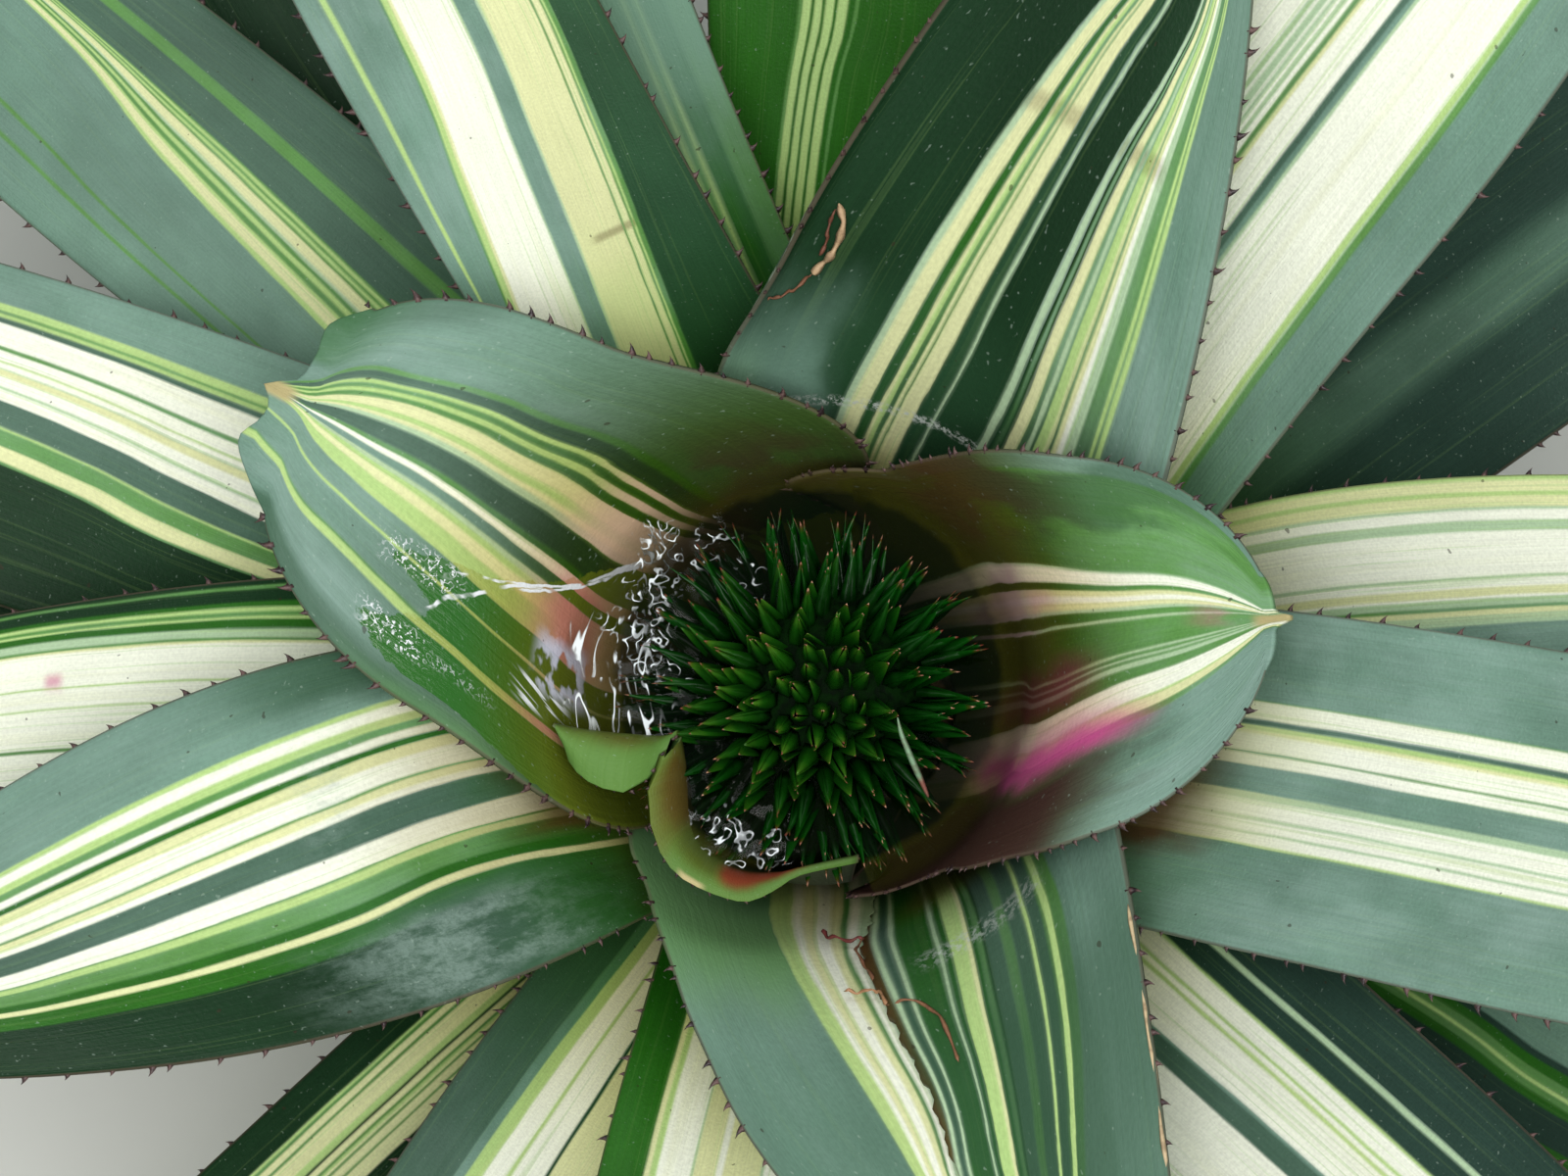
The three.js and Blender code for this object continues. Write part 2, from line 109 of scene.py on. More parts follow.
# Leaves from the innermost to the outermost, as in the solids, each seen with its tip up. stripes
# reads across the leaf from the left margin: a finish and the percentage where it ends. Some
# stripes are followed along the leaf by guides, and each row of flow says where the guides run
# at a share of its length. patches are (finish, across from, to, along from, to, strength,
# where): where is "pale" for the pale stripes only, "dark" for the green, "any" for all, "scurf"
# for a crust of flecks, "clouds" for soft blots or "streaks" for wiped wax. high_side and
# low_side widen or narrow the left and the right half by a ratio at distances from the base, end
# is how far the leaf reaches across its breadth, and spur is a nub on it.
# Near its base a row may paint its leaf darker, as painted shade where the leaves crowd round the stem, over
# the leaf's own fresher green and yellower pale stripes.
LEAVES = [
    dict(name="inner_bract", turn=238, length=43, width=36, sheath=34, round=True, opens=True,
         stripes="i50 i100", bloom=0.05, scurf=0.12, teeth=2.4, tooth=0.45,
         # Deep shade is painted over its left part and its lower part, and brown shade along its fold:
         # painted shade.
         patches=[("x", -0.1, 0.4, -0.1, 0.93, 0.88, "any"), ("g", 0.74, 1.1, 0.86, 1.1, 0.6, "any"),
                  ("g", -0.1, 0.6, 0.92, 1.1, 0.45, "any"), ("j", 0.1, 0.42, 0.76, 0.92, 0.85, "any"),
                  ("b", 0.62, 0.735, 0.6, 0.95, 0.7, "any"), ("b", 0.79, 0.9, 0.72, 0.86, 0.6, "clouds"),
                  ("x", -0.1, 1.1, -0.1, 0.6, 0.6, "any")]),
    dict(name="cup_leaf_right", turn=3, length=84, width=52, neck=68, low_neck=74, round=True,
         stripes="w5 g30.7 s31.4 c34.7 g36.5 y38 c39.5 y41.2 s42.2 g44.3 s45.2 g53.4 s54.2 g55 s55.7 "
                 "g56.4 s57.8 g60.8 c66.3 l67 y70 g71.9 w100", guides=(0.307, 0.452, 0.534, 0.719),
         high_side=((0, 14, 24, 30, 32, 35, 39, 60), (1, 1.15, 1.4, 1.42, 1.3, 1.07, 1, 1)),
         low_side=((0, 18, 24, 28, 32, 38, 46, 52, 60, 84),
                   (1, 1.15, 1.25, 1.1, 0.92, 0.81, 0.83, 0.87, 0.98, 1)),
         flow=[(0.2, 0.2, 0.385, 0.49, 0.778), (0.3, 0.243, 0.412, 0.506, 0.73),
               (0.4, 0.274, 0.43, 0.528, 0.709), (0.5, 0.296, 0.445, 0.535, 0.717),
               (0.6, 0.307, 0.448, 0.54, 0.726), (0.75, 0.325, 0.452, 0.53, 0.718),
               (0.9, 0.343, 0.452, 0.517, 0.67), (1.0, 0.4, 0.46, 0.5, 0.58)], bloom=0.35, teeth=2.6,
         tooth=1.05, blunt=0.985, spur=2.6, fresh_and_shaded_base=(0.86, 0.6), deep_shade=(0.42, 0.36, 0.14),
         pale_base_tint_and_shade=(0.9, 0.76, 0.62),
         patches=[("g", 0.03, 0.3, 0.64, 0.84, 0.2, "dark"), ("e", -0.1, 0.3, 0.58, 0.95, 0.55, "clouds"),
                  ("m", 0.0, 0.24, 0.36, 0.72, 0.6, "clouds"), ("p", 0.62, 0.67, 0.1, 0.72, 0.4, "pale"),
                  ("p", 0.665, 0.74, 0.1, 0.77, 0.95, "any"), ("q", 0.515, 0.6, 0.1, 0.68, 0.75, "any"),
                  ("v", 0.28, 0.47, 0.1, 0.5, 0.7, "pale"), ("p", 0.36, 0.41, 0.5, 0.6, 0.35, "pale"),
                  ("p", 0.44, 0.49, 0.88, 0.97, 0.6, "clouds"), ("a", 0.76, 1.1, 0.05, 0.72, 0.92, "any"),
                  ("a", 0.74, 0.9, 0.68, 0.84, 0.5, "clouds"), ("b", -0.1, 0.7, 0.1, 0.6, 0.4, "dark"),
                  ("x", -0.1, 1.1, -0.1, 0.1, 0.7, "any")]),
    dict(name="cup_leaf_left", turn=152, length=93, width=56, neck=70, low_neck=84, droop=4, round=True,
         stripes="w19.1 l21.6 g22.2 w31.2 l32.2 w37.8 l42.8 y45.4 l46.8 s48 w50.3 c52 g53.4 d58.8 "
                 "s60.4 y61.6 l63.2 y66.6 g68.3 l69.8 g71.3 l72.6 d75.7 g77.3 w100",
         guides=(0.203, 0.378, 0.52, 0.666, 0.773),
         flow=[(0.2, 0.14, 0.3, 0.49, 0.7, 0.8), (0.3, 0.14, 0.29, 0.47, 0.635, 0.735),
               (0.4, 0.147, 0.305, 0.468, 0.61, 0.712), (0.5, 0.163, 0.328, 0.482, 0.612, 0.722),
               (0.6, 0.172, 0.34, 0.495, 0.643, 0.76), (0.66, 0.187, 0.355, 0.507, 0.655, 0.77),
               (0.72, 0.203, 0.378, 0.52, 0.666, 0.773), (0.78, 0.228, 0.395, 0.53, 0.667, 0.765),
               (0.85, 0.245, 0.415, 0.535, 0.665, 0.755), (0.92, 0.24, 0.45, 0.55, 0.645, 0.765),
               (0.965, 0.28, 0.525, 0.565, 0.605, 0.68), (1.0, 0.33, 0.55, 0.57, 0.585, 0.61)],
         low_side=((0, 60, 75, 84, 90, 100), (1, 1, 1.03, 1.15, 1.3, 1.3)), bloom=0.35, teeth=3.4,
         tooth=1.25, wet=True, blunt=0.95, spur=2.6, spur_at=-0.15,
         end=((-1, -0.85, -0.6, -0.36, -0.15, 0.2, 0.43, 0.76, 1),
              (89, 92.3, 91.3, 91, 92, 93.2, 95.2, 91.8, 87.8)), fresh_and_shaded_base=(0.88, 0.48), deep_shade=(0.26, 0.3, 0.08),
         pale_base_tint_and_shade=(0.72, 0.62, 0.44),
         # At the tip, by the right margin where it curls, grass green is painted as shade.
         patches=[("e", -0.1, 0.09, 0.7, 1.1, 0.65, "dark"), ("e", 0.93, 1.1, 0.82, 1.1, 0.45, "dark"),
                  ("G", 0.76, 1.1, 0.94, 1.1, 0.6, "dark"), ("g", -0.1, 0.05, 0.6, 0.8, 0.4, "dark"),
                  ("r", 0.25, 0.72, 0.2, 0.52, 0.75, "pale"), ("u", 0.3, 0.46, 0.36, 0.5, 0.75, "pale"),
                  ("p", 0.15, 0.19, 0.36, 0.55, 0.7, "pale"), ("m", 0.68, 1.1, 0.24, 0.48, 0.55, "clouds"),
                  ("b", 0.3, 0.8, 0.1, 0.3, 0.7, "any"), ("x", -0.1, 1.1, -0.1, 0.2, 0.7, "any")]),
    dict(name="torn_leaf", turn=290, length=130, width=95, taper=0.1, power=1.2, sweep=6, recurve=2,
         teeth=4.4, tooth=1.3, bloom=0.2,
         low_side=((0, 20, 30, 34, 37, 44, 51, 63, 77, 95),
                   (1, 1.15, 1.26, 1.18, 1.07, 0.95, 0.88, 0.88, 0.95, 1)),
         stripes="w16.8 g19.6 l21.3 g21.9 d24.7 l25.9 d29.4 g31.6 d35 k35.6 g36.7 G38 y38.9 l42.1 "
                 "G43.5 s44.4 G50.3 s51.4 d53 s54.4 b100", guides=(0.168, 0.405, 0.545),
         flow=[(0.2, 0.21, 0.42, 0.58), (0.3, 0.2, 0.409, 0.57), (0.4, 0.19, 0.402, 0.553),
               (0.5, 0.17, 0.405, 0.543), (0.6, 0.185, 0.42, 0.538), (0.7, 0.246, 0.47, 0.6),
               (0.8, 0.34, 0.54, 0.63), (1.0, 0.45, 0.56, 0.65)], fresh_and_shaded_base=(0.3, 0.14),
         # Near its base the torn leaf is painted with the shadow of the cup's rim: olive, then deep shade.
         patches=[("f", 0.22, 0.46, 0.392, 0.424, 0.75, "scurf"), ("h", 0.7, 1.1, 0.2, 0.42, 0.85, "dark"),
                  ("o", -0.1, 0.5, 0.1, 0.25, 0.85, "any"), ("g", 0.66, 1.1, 0.18, 0.4, 0.55, "dark"),
                  ("e", -0.1, 0.56, 0.5, 1.1, 0.55, "dark"), ("e", 0.56, 1.1, 0.5, 1.1, 0.25, "dark"),
                  ("e", 0.16, 0.56, 0.3, 0.9, 0.35, "dark"), ("x", 0.3, 0.85, -0.1, 0.182, 0.93, "any"),
                  ("x", 0.2, 0.4, -0.1, 0.21, 0.8, "any")]),
    dict(name="leaf_04", turn=59, length=150, width=83, taper=0.08, power=1.3, sweep=2, teeth=4.2,
         tooth=1.1, roll=(0.86, (46, 140)),
         stripes="k31.8 s33.4 y37 G39.3 y40.1 l41.2 g42.2 y43 g43.5 y47 e50.2 s51.1 k59.7 s61.6 k62.6 "
                 "g63.4 k64.2 y66.6 g67.7 s68.9 g69.3 l71.4 y72 g72.7 y73.8 c75 s77.4 g80.6 l81.6 "
                 "g82.1 l83.5 w100", guides=(0.318, 0.472, 0.597, 0.836),
         flow=[(0.2, 0.205, 0.36, 0.5, 0.8), (0.36, 0.283, 0.433, 0.562, 0.815),
               (0.5, 0.318, 0.472, 0.597, 0.836), (0.62, 0.36, 0.517, 0.645, 0.85),
               (0.7, 0.413, 0.565, 0.72, 0.868), (0.78, 0.5, 0.65, 0.8, 0.9), (1.0, 0.62, 0.74, 0.86, 0.93)],
         bloom=0.3, fresh_and_shaded_base=(0.26, 0.14),
         patches=[("w", -0.1, 0.22, 0.1, 0.4, 0.95, "dark"), ("h", -0.1, 0.1, 0.1, 0.34, 0.5, "dark"),
                  ("e", 0.2, 0.9, 0.2, 0.42, 0.7, "dark"), ("e", 0.84, 1.1, 0.6, 0.9, 0.35, "dark"),
                  ("f", 0.14, 0.58, 0.285, 0.298, 0.9, "scurf"),
                  ("b", 0.33, 0.8, 0.63, 0.648, 0.35, "pale")]),
    dict(name="leaf_05", turn=200, length=158, width=58, sheath=34, swell=110, taper=0.3, power=1.8,
         recurve=3, teeth=5.0, tooth=0.9,
         stripes="k20 G25.4 y27.4 G30.2 g35.4 l37.6 g38 c43.6 d50.7 c52.7 y55 g55.8 c61.3 y64.6 G66.6 "
                 "c68.9 g71.1 l73.6 c76.7 l78.2 w100", guides=(0.259, 0.438, 0.507, 0.783),
         flow=[(0.3, 0.31, 0.52, 0.6, 0.87), (0.4, 0.32, 0.496, 0.583, 0.848),
               (0.5, 0.278, 0.467, 0.543, 0.812), (0.6, 0.259, 0.438, 0.507, 0.783),
               (0.7, 0.246, 0.408, 0.472, 0.754), (0.78, 0.24, 0.385, 0.45, 0.728),
               (1.0, 0.32, 0.42, 0.47, 0.64)], bloom=0.2,
         patches=[("d", -0.1, 0.3, 0.25, 0.5, 0.75, "dark"), ("z", 0.02, 0.25, 0.27, 0.52, 0.6, "streaks"),
                  ("z", 0.46, 0.74, 0.47, 0.51, 0.35, "streaks"), ("t", 0.3, 0.9, 0.2, 0.42, 0.6, "pale"),
                  ("e", 0.87, 1.1, 0.2, 0.55, 0.75, "dark"), ("G", -0.1, 1.1, 0.1, 0.34, 0.7, "dark"),
                  ("b", 0.36, 0.62, 0.14, 0.3, 0.8, "any"), ("o", -0.1, 1.1, 0.0, 0.2, 0.8, "any")]),
    dict(name="leaf_06", turn=346, length=212, width=43, taper=0.5, recurve=4, teeth=4.6, tooth=1.0,
         stripes="w27 g27.5 c32.6 d34.5 l36 y37 c42.3 g43 c46.2 w54 s56.2 c61 s61.9 c65.2 s66 c68.9 "
                 "l69.6 w100", bloom=0.35,
         patches=[("y", 0.24, 0.76, 0.2, 0.36, 0.6, "pale"), ("b", 0.3, 0.76, 0.2, 0.305, 0.9, "any")]),
    dict(name="leaf_07", turn=116, length=212, width=34, taper=0.5, recurve=4, teeth=4.6, tooth=1.0,
         stripes="w6 l7.6 w19.5 g20.3 l22.6 y24 c45.2 s46 w53.5 s54.5 y72.6 g73.4 y76 g76.8 l77.6 "
                 "g79.4 e100", guides=(0.195, 0.794),
         flow=[(0.33, 0.11, 0.72), (0.42, 0.195, 0.794), (0.5, 0.27, 0.84), (1.0, 0.3, 0.8)], bloom=0.3,
         patches=[("b", 0.55, 0.76, 0.345, 0.35, 0.5, "pale"), ("l", 0.3, 0.8, 0.2, 0.33, 0.4, "pale")]),
    dict(name="leaf_08", turn=266, length=205, width=44, sweep=-2, recurve=5, teeth=5.0, tooth=1.0,
         stripes="k12 l14 y30 g31 c52 s53 y64 c66 y72.4 s73 c83 l85 y86.6 G100", bloom=0.1),
    dict(name="leaf_09", turn=45, length=220, width=46, sweep=1, recurve=6, teeth=5.6, tooth=1.0,
         stripes="w14 g16 y18 c31 s32.6 c33.4 s35.4 c36 s37.2 c38.2 s39.4 c40.8 g42.3 y43.4 c51 d53 "
                 "w54.4 s55.4 c78.6 l80.4 s81 g83 w100", guides=(0.53, 0.83),
         flow=[(0.4, 0.533, 0.843), (0.5, 0.53, 0.83), (1.0, 0.53, 0.8)], bloom=0.12),
    dict(name="leaf_10", turn=185, length=200, width=44, taper=0.3, power=1.8, sweep=2, recurve=5,
         teeth=6.0, tooth=0.9,
         stripes="k10 g12 c22 l23 c38 g38.8 c50.3 g51.5 c64 l64.6 c70.8 l71.4 c82.5 y83.3 g84.2 s86.9 "
                 "G89.4 l90.2 g91.4 l92.6 G94 k97.5 g98.3 k100", guides=(0.3, 0.869),
         flow=[(0.35, 0.27, 0.83), (0.4, 0.28, 0.843), (0.5, 0.3, 0.869), (0.57, 0.31, 0.88),
               (1.0, 0.35, 0.8)], bloom=0.12, patches=[("p", 0.71, 0.75, 0.53, 0.54, 0.8, "any")]),
    dict(name="leaf_11", turn=315, length=220, width=44, sweep=2, recurve=6, teeth=6.0, tooth=0.9,
         stripes="n18.4 s20.2 n26.6 n27.2 l28 c33 l34 c35.4 l36.6 c47.4 w48.4 d54.5 c78 g79 c84 n100",
         guides=(0.184, 0.27, 0.474),
         flow=[(0.35, 0.2, 0.285, 0.5), (0.45, 0.184, 0.27, 0.474), (1.0, 0.15, 0.24, 0.44)], bloom=0.12),
    dict(name="leaf_12", turn=109, length=214, width=32, recurve=4, teeth=3.2, tooth=1.1,
         stripes="w60 g73 l75 g78 l80 G90 g100", blur=0.012, bloom=0.2,
         patches=[("w", -0.1, 1.1, 0.375, 1.1, 0.85, "any"), ("e", 0.86, 1.1, 0.1, 0.36, 0.5, "any")]),
    dict(name="leaf_13", turn=243, length=220, width=42, recurve=6, teeth=4.4, tooth=1.1,
         stripes="k14 l15.5 c28 g29 c40 s41 y57 e58.3 c67 l68.2 c74.4 l79 w82 d100", guides=(0.583, 0.79),
         flow=[(0.25, 0.6, 0.785), (0.33, 0.583, 0.79), (1.0, 0.58, 0.79)], bloom=0.2),
    dict(name="leaf_14", turn=3, length=205, width=44, taper=0.3, power=1.7, sweep=-3, recurve=8, teeth=5.4,
         tooth=0.9,
         stripes="l1.5 y5 l6.5 y10 s11 c14.2 s17.5 c31.4 s32.4 c35 y37.6 c38.4 s40.6 g41.7 y43.4 "
                 "s46.5 w70 d72 c80 l82 g84 w100", guides=(0.05, 0.417),
         flow=[(0.36, 0.045, 0.4), (0.45, 0.05, 0.417), (1.0, 0.1, 0.45)], bloom=0.3),
    dict(name="leaf_15", turn=162, length=228, width=44, recurve=6, teeth=6.0, tooth=0.8,
         stripes="k22 k38.6 g39.4 y43.8 g48.6 l49.3 d57 c60.4 s61.3 c64.6 y66.7 s67.2 c68.8 l69.4 "
                 "c72.7 g74 c81.2 d83 l84.2 g85 l87.4 w100", guides=(0.394, 0.57, 0.812),
         flow=[(0.35, 0.33, 0.49, 0.78), (0.42, 0.35, 0.533, 0.797), (0.47, 0.394, 0.57, 0.812),
               (0.55, 0.43, 0.6, 0.82), (1.0, 0.48, 0.62, 0.8)], bloom=0.2),
    dict(name="leaf_16", turn=296, length=224, width=42, sweep=-3, recurve=9),
    dict(name="leaf_17", turn=86, length=226, width=42, recurve=7,
         stripes="G25 g26 l28.6 G29.6 l32 G33 l35.6 G36.6 l39.6 G41.6 g42.6 G100", guides=(0.25, 0.43),
         flow=[(0.3, 0.19, 0.36), (0.37, 0.25, 0.43), (0.42, 0.3, 0.5), (1.0, 0.5, 0.65)], bloom=0.05),
    dict(name="leaf_18", turn=229, length=226, width=42, sweep=-2, recurve=8,
         stripes="k16 l17 y28 c34 g35 y42 g43 l44 g47 k62 y66.6 g67.4 y69.8 g70.6 y71.4 l72.2 g73 y75 "
                 "k75.8 l78 y83 g84 y86 g87 l88 k100", bloom=0.1),
    dict(name="leaf_19", turn=350, length=230, width=42, sweep=-3, recurve=10),
    dict(name="leaf_20", turn=140, length=234, width=39, recurve=8,
         stripes="w14 g15.4 w21 g22.2 w47.4 l49 y52 l53 g54.6 l56.2 g57.4 s58.4 y61.4 g62.2 l63.2 g64 "
                 "l65 g65.6 d76.5 g81 d100", guides=(0.474, 0.656),
         flow=[(0.4, 0.39, 0.61), (0.5, 0.474, 0.656), (0.6, 0.6, 0.69), (1.0, 0.7, 0.76)], bloom=0.1),
    dict(name="leaf_21", turn=274, length=230, width=42, sweep=3, recurve=10),
    dict(name="leaf_22", turn=30, length=215, width=40, sweep=2, recurve=12, stripes="n40 d60 n100",
         blur=0.04, bloom=0.12),
    dict(name="leaf_23", turn=178, length=228, width=42, sweep=3, recurve=9, stripes="k22 G28 k70 g72 k100",
         blur=0.01, bloom=0.05),
    dict(name="leaf_24", turn=330, length=232, width=42, sweep=2, recurve=12,
         stripes="w35 n37 G40 g42.4 l43.6 g46 G49 n60 G78 l81 G84 n100", guides=(0.43,),
         flow=[(0.33, 0.42), (0.38, 0.44), (0.44, 0.49), (1.0, 0.5)], bloom=0.1),
    dict(name="leaf_25", turn=124, length=228, width=42, sweep=-2, recurve=8, stripes="k48 d56 k100",
         blur=0.04, bloom=0.1),
]
LAST = len(LEAVES) - 1
for order, leaf in enumerate(LEAVES):
    leaf["order"] = order


def ease(x):
    """Smooth step from 0 to 1."""
    x = np.clip(x, 0, 1)
    return x * x * (3 - 2 * x)


def lean(points, angle=LEAN):
    """Points of the rosette's frame in the part's frame."""
    towards, angle = math.radians(LEAN_TOWARDS), math.radians(angle)
    out = np.array([math.cos(towards), math.sin(towards), 0.0])
    side = np.array([-math.sin(towards), math.cos(towards), 0.0])
    along, across, up = points @ out, points @ side, points[..., 2]
    moved = (along * math.cos(angle) + up * math.sin(angle))[..., None] * out
    moved = moved + across[..., None] * side
    return moved + (up * math.cos(angle) - along * math.sin(angle))[..., None] * np.array([0, 0, 1.0])


def upright(points):
    """Points of the part's frame in the rosette's frame."""
    return lean(points, -LEAN)


# Camera: it looks down on the flower head from the height of the photograph
PHOTO_WIDTH, PHOTO_HEIGHT = 1600, 1200
HEAD_PIXEL = (835, 703)
CAMERA_ELEVATION, CAMERA_DISTANCE = 80.0, 520.0
FOCAL_PIXELS = 4056
SENSOR_WIDTH = 36.0


def make_camera():
    """The photograph's camera, aimed so that the flower head lies at its place in the picture."""
    elevation = math.radians(CAMERA_ELEVATION)
    back = np.array([0, -math.cos(elevation), math.sin(elevation)])
    head = lean(np.array([0, 0, DOME_HEIGHT]))
    data = bpy.data.cameras.new("photo_camera")
    data.sensor_width = SENSOR_WIDTH
    data.lens = FOCAL_PIXELS / PHOTO_WIDTH * SENSOR_WIDTH
    data.shift_x = (PHOTO_WIDTH / 2 - HEAD_PIXEL[0]) / PHOTO_WIDTH
    data.shift_y = (HEAD_PIXEL[1] - PHOTO_HEIGHT / 2) / PHOTO_WIDTH
    data.clip_start, data.clip_end = 0.01, 20
    camera = bpy.data.objects.new("photo_camera", data)
    bpy.context.scene.collection.objects.link(camera)
    camera.location = Vector((head + back * CAMERA_DISTANCE) * MM)
    camera.rotation_euler = (math.radians(90 - CAMERA_ELEVATION), 0, 0)
    bpy.context.scene.camera = camera


make_camera()


# Leaf surfaces

DROOP_FROM, DROOP_OVER = 40.0, 60.0
SHEATH_RATIO, SHEATH_MOST, SHEATH_SWELL = 1.15, 50, 60
NECK_AT, NECK_BELOW = 40, 26
SHEATH_ENDS, SHEATH_FADES = 34, 30
WAVE_FROM, WAVE_OVER, WAVE_HEIGHT, WAVE_LENGTH = 62, 60, 0.9, 13
TWIST_FROM, TWIST_OVER, TWIST_HEIGHT = 80, 90, 1.1
ROLL_RADIUS = 2.3


def curve_through(x, at, value):
    """Smooth curve through values, flat beyond the first and the last."""
    at, value = np.array(at, float), np.array(value, float)
    slope = np.gradient(value, at)
    i = np.clip(np.searchsorted(at, x) - 1, 0, len(at) - 2)
    h = at[i + 1] - at[i]
    u = np.clip((x - at[i]) / h, 0, 1)
    near = (1 + 2 * u) * (1 - u) ** 2 * value[i] + u * (1 - u) ** 2 * h * slope[i]
    return near + u * u * (3 - 2 * u) * value[i + 1] + u * u * (u - 1) * h * slope[i + 1]


def stem_radius(z):
    """Radius of the stem at a height, from its foot to its top."""
    share = (z - STEM_LOW) / (STEM_HIGH - STEM_LOW)
    return STEM_RADIUS_LOW + (STEM_RADIUS_HIGH - STEM_RADIUS_LOW) * share


def leaf_path(leaf):
    """Distances along a leaf, with radius, height and elevation there."""
    share = leaf["order"] / LAST
    above = next(i for i, row in enumerate(BEND) if i > 0 and share <= row[0])
    (low, at_a, angle_a), (high, at_b, angle_b) = BEND[above - 1], BEND[above]
    f = (share - low) / (high - low)
    at = [a + (b - a) * f for a, b in zip(at_a, at_b)]
    angle = [a + (b - a) * f for a, b in zip(angle_a, angle_b)]
    s = np.arange(0, math.ceil(leaf["length"]) + 8, 1.0)
    droop = leaf.get("droop", 0) * np.clip((s - DROOP_FROM) / DROOP_OVER, 0, 1)
    e = np.radians(curve_through(s, at, angle) - droop)
    base = STEM_HIGH + (STEM_LOW - STEM_HIGH) * share
    step = lambda x: np.concatenate([[0], np.cumsum((x[1:] + x[:-1]) / 2)])
    return s, stem_radius(base) + LEAF_OFF_STEM + step(np.cos(e)), base + step(np.sin(e)), e


def half_breadth(leaf, s, v):
    """Half the breadth of a leaf, from its sheath through its widest part to its tip."""
    s = np.minimum(s, leaf.get("blunt", 1.0) * leaf["length"])
    f = s / leaf["length"]
    width = leaf["width"]
    sheath = leaf.get("sheath", min(width * SHEATH_RATIO, SHEATH_MOST))
    breadth = sheath + (width - sheath) * ease(s / leaf.get("swell", SHEATH_SWELL))
    if "neck" in leaf:
        neck = np.where(v < 0, leaf.get("low_neck", leaf["neck"]), leaf["neck"])
        rise = sheath + (neck - sheath) * ease(s / NECK_AT)
        breadth = np.where(s < NECK_AT, rise, neck + (width - neck) * ease((s - NECK_AT) / NECK_BELOW))
    if leaf.get("round"):
        taper = (1 - np.clip((f - 0.6) / 0.4, 0, 1) ** 2.6) ** 0.62
    else:
        start = leaf.get("taper", 0.45)
        taper = (1 - np.clip((f - start) / (1 - start), 0, 1) ** leaf.get("power", 2.2)) ** 0.8
    for name, side in (("low_side", v < 0), ("high_side", v > 0)):
        if name in leaf:
            at, ratio = leaf[name]
            more = (curve_through(s, at, ratio) - 1) * np.abs(v) ** 3
            taper = taper * np.where(side, 1 + more, 1)
    return breadth * taper / 2


def leaf_points(leaf, s, v, off):
    """Points of a leaf: s along it, v across it from -1 to 1, and off its middle surface."""
    at, r, z, e = leaf["path"]
    f = s / leaf["length"]
    radius, height, angle = np.interp(s, at, r), np.interp(s, at, z), np.interp(s, at, e)
    sweep = math.radians(leaf.get("sweep", 0)) * ease((f - 0.3) / 0.7)
    turn = math.radians(leaf["turn"]) + sweep + v * half_breadth(leaf, s, v) / radius
    out = off + wave(leaf, s, v) - leaf.get("recurve", 0) * np.clip((f - 0.7) / 0.3, 0, 1) ** 2
    reach = radius - np.sin(angle) * out
    return np.stack([reach * np.cos(turn), reach * np.sin(turn), height + np.cos(angle) * out], -1)


def wave(leaf, s, v):
    """How far a blade swings from its plain surface: a slow wave of its margins and a little twist."""
    phase = leaf["order"] * 2.4
    margins = WAVE_HEIGHT * np.sin(s / WAVE_LENGTH + phase + 1.3 * v) * v * v
    twist = TWIST_HEIGHT * math.sin(phase) * v * ease((s - TWIST_FROM) / TWIST_OVER)
    return ease((s - WAVE_FROM) / WAVE_OVER) * (margins + twist)


def rolled(leaf, s, v, off):
    """Points of a leaf whose left margin rolls up over its face, most of all in its middle."""
    start, (rise, fall) = leaf["roll"]
    flat = np.minimum(v, start)
    base = leaf_points(leaf, s, flat, 0.0)
    normal = leaf_points(leaf, s, flat, 1.0) - base
    side = np.stack([-base[..., 1], base[..., 0], 0 * s], -1)
    side = side / np.linalg.norm(side, axis=-1, keepdims=True)
    amount = ease((s - rise) / 25) * ease((fall - s) / 50)
    bend = np.maximum(amount, 0.001) / ROLL_RADIUS
    reach = (v - flat) * half_breadth(leaf, s, v)
    turn = bend * reach
    across = np.sin(turn) / bend - off * np.sin(turn)
    up = (1 - np.cos(turn)) / bend + off * np.cos(turn)
    return base + side * across[..., None] + normal * up[..., None]


# The inner bract at places across it, from its left to its right: where it leaves the water, then its
# margin with its height
BRACT_FOOT = 22.0
BRACT_STATIONS = [1, 0.75, 0.55, 0.4, 0.2, 0.05, -0.1, -0.25, -0.37, -0.46, -0.52, -0.58, -0.65, -0.74,
                  -0.84, -0.93, -1]
BRACT_AT_WATER = [(-8.6, -29.1), (-16.3, -31.1), (-19.5, -31.6), (-22.3, -31.7), (-25.2, -30.9),
                  (-27.8, -29.6), (-29.9, -27.4), (-30.9, -24.2), (-31.1, -20.3), (-31.3, -17.7),
                  (-31, -14.8), (-32.3, -14.1), (-35.5, -13.7), (-38.7, -13.4), (-41.9, -13),
                  (-44.5, -12.6), (-46.6, -12.1)]
BRACT_MARGIN = [(-8.6, -30, 92), (-16.3, -31.7, 93), (-19.7, -33.9, 93.2), (-22.4, -35.2, 93.4),
                (-25.9, -34.7, 93.6), (-29, -33.5, 93.8), (-32, -31.6, 94), (-34.3, -28.1, 94.4),
                (-35.6, -22.2, 95), (-34.2, -17.7, 96), (-31.4, -13.8, 97), (-33.6, -17, 95),
                (-36.8, -20.6, 92.8), (-40.6, -20.6, 92), (-43.8, -19, 91.6), (-45.8, -16.4, 91.4),
                (-46.6, -12.9, 91.4)]


def stations(v, points):
    """Points across the inner bract, through those of its stations."""
    points = np.array(points, float)
    places = np.array(BRACT_STATIONS, float)[::-1]
    return np.stack([curve_through(v, places, column[::-1]) for column in points.T], -1)


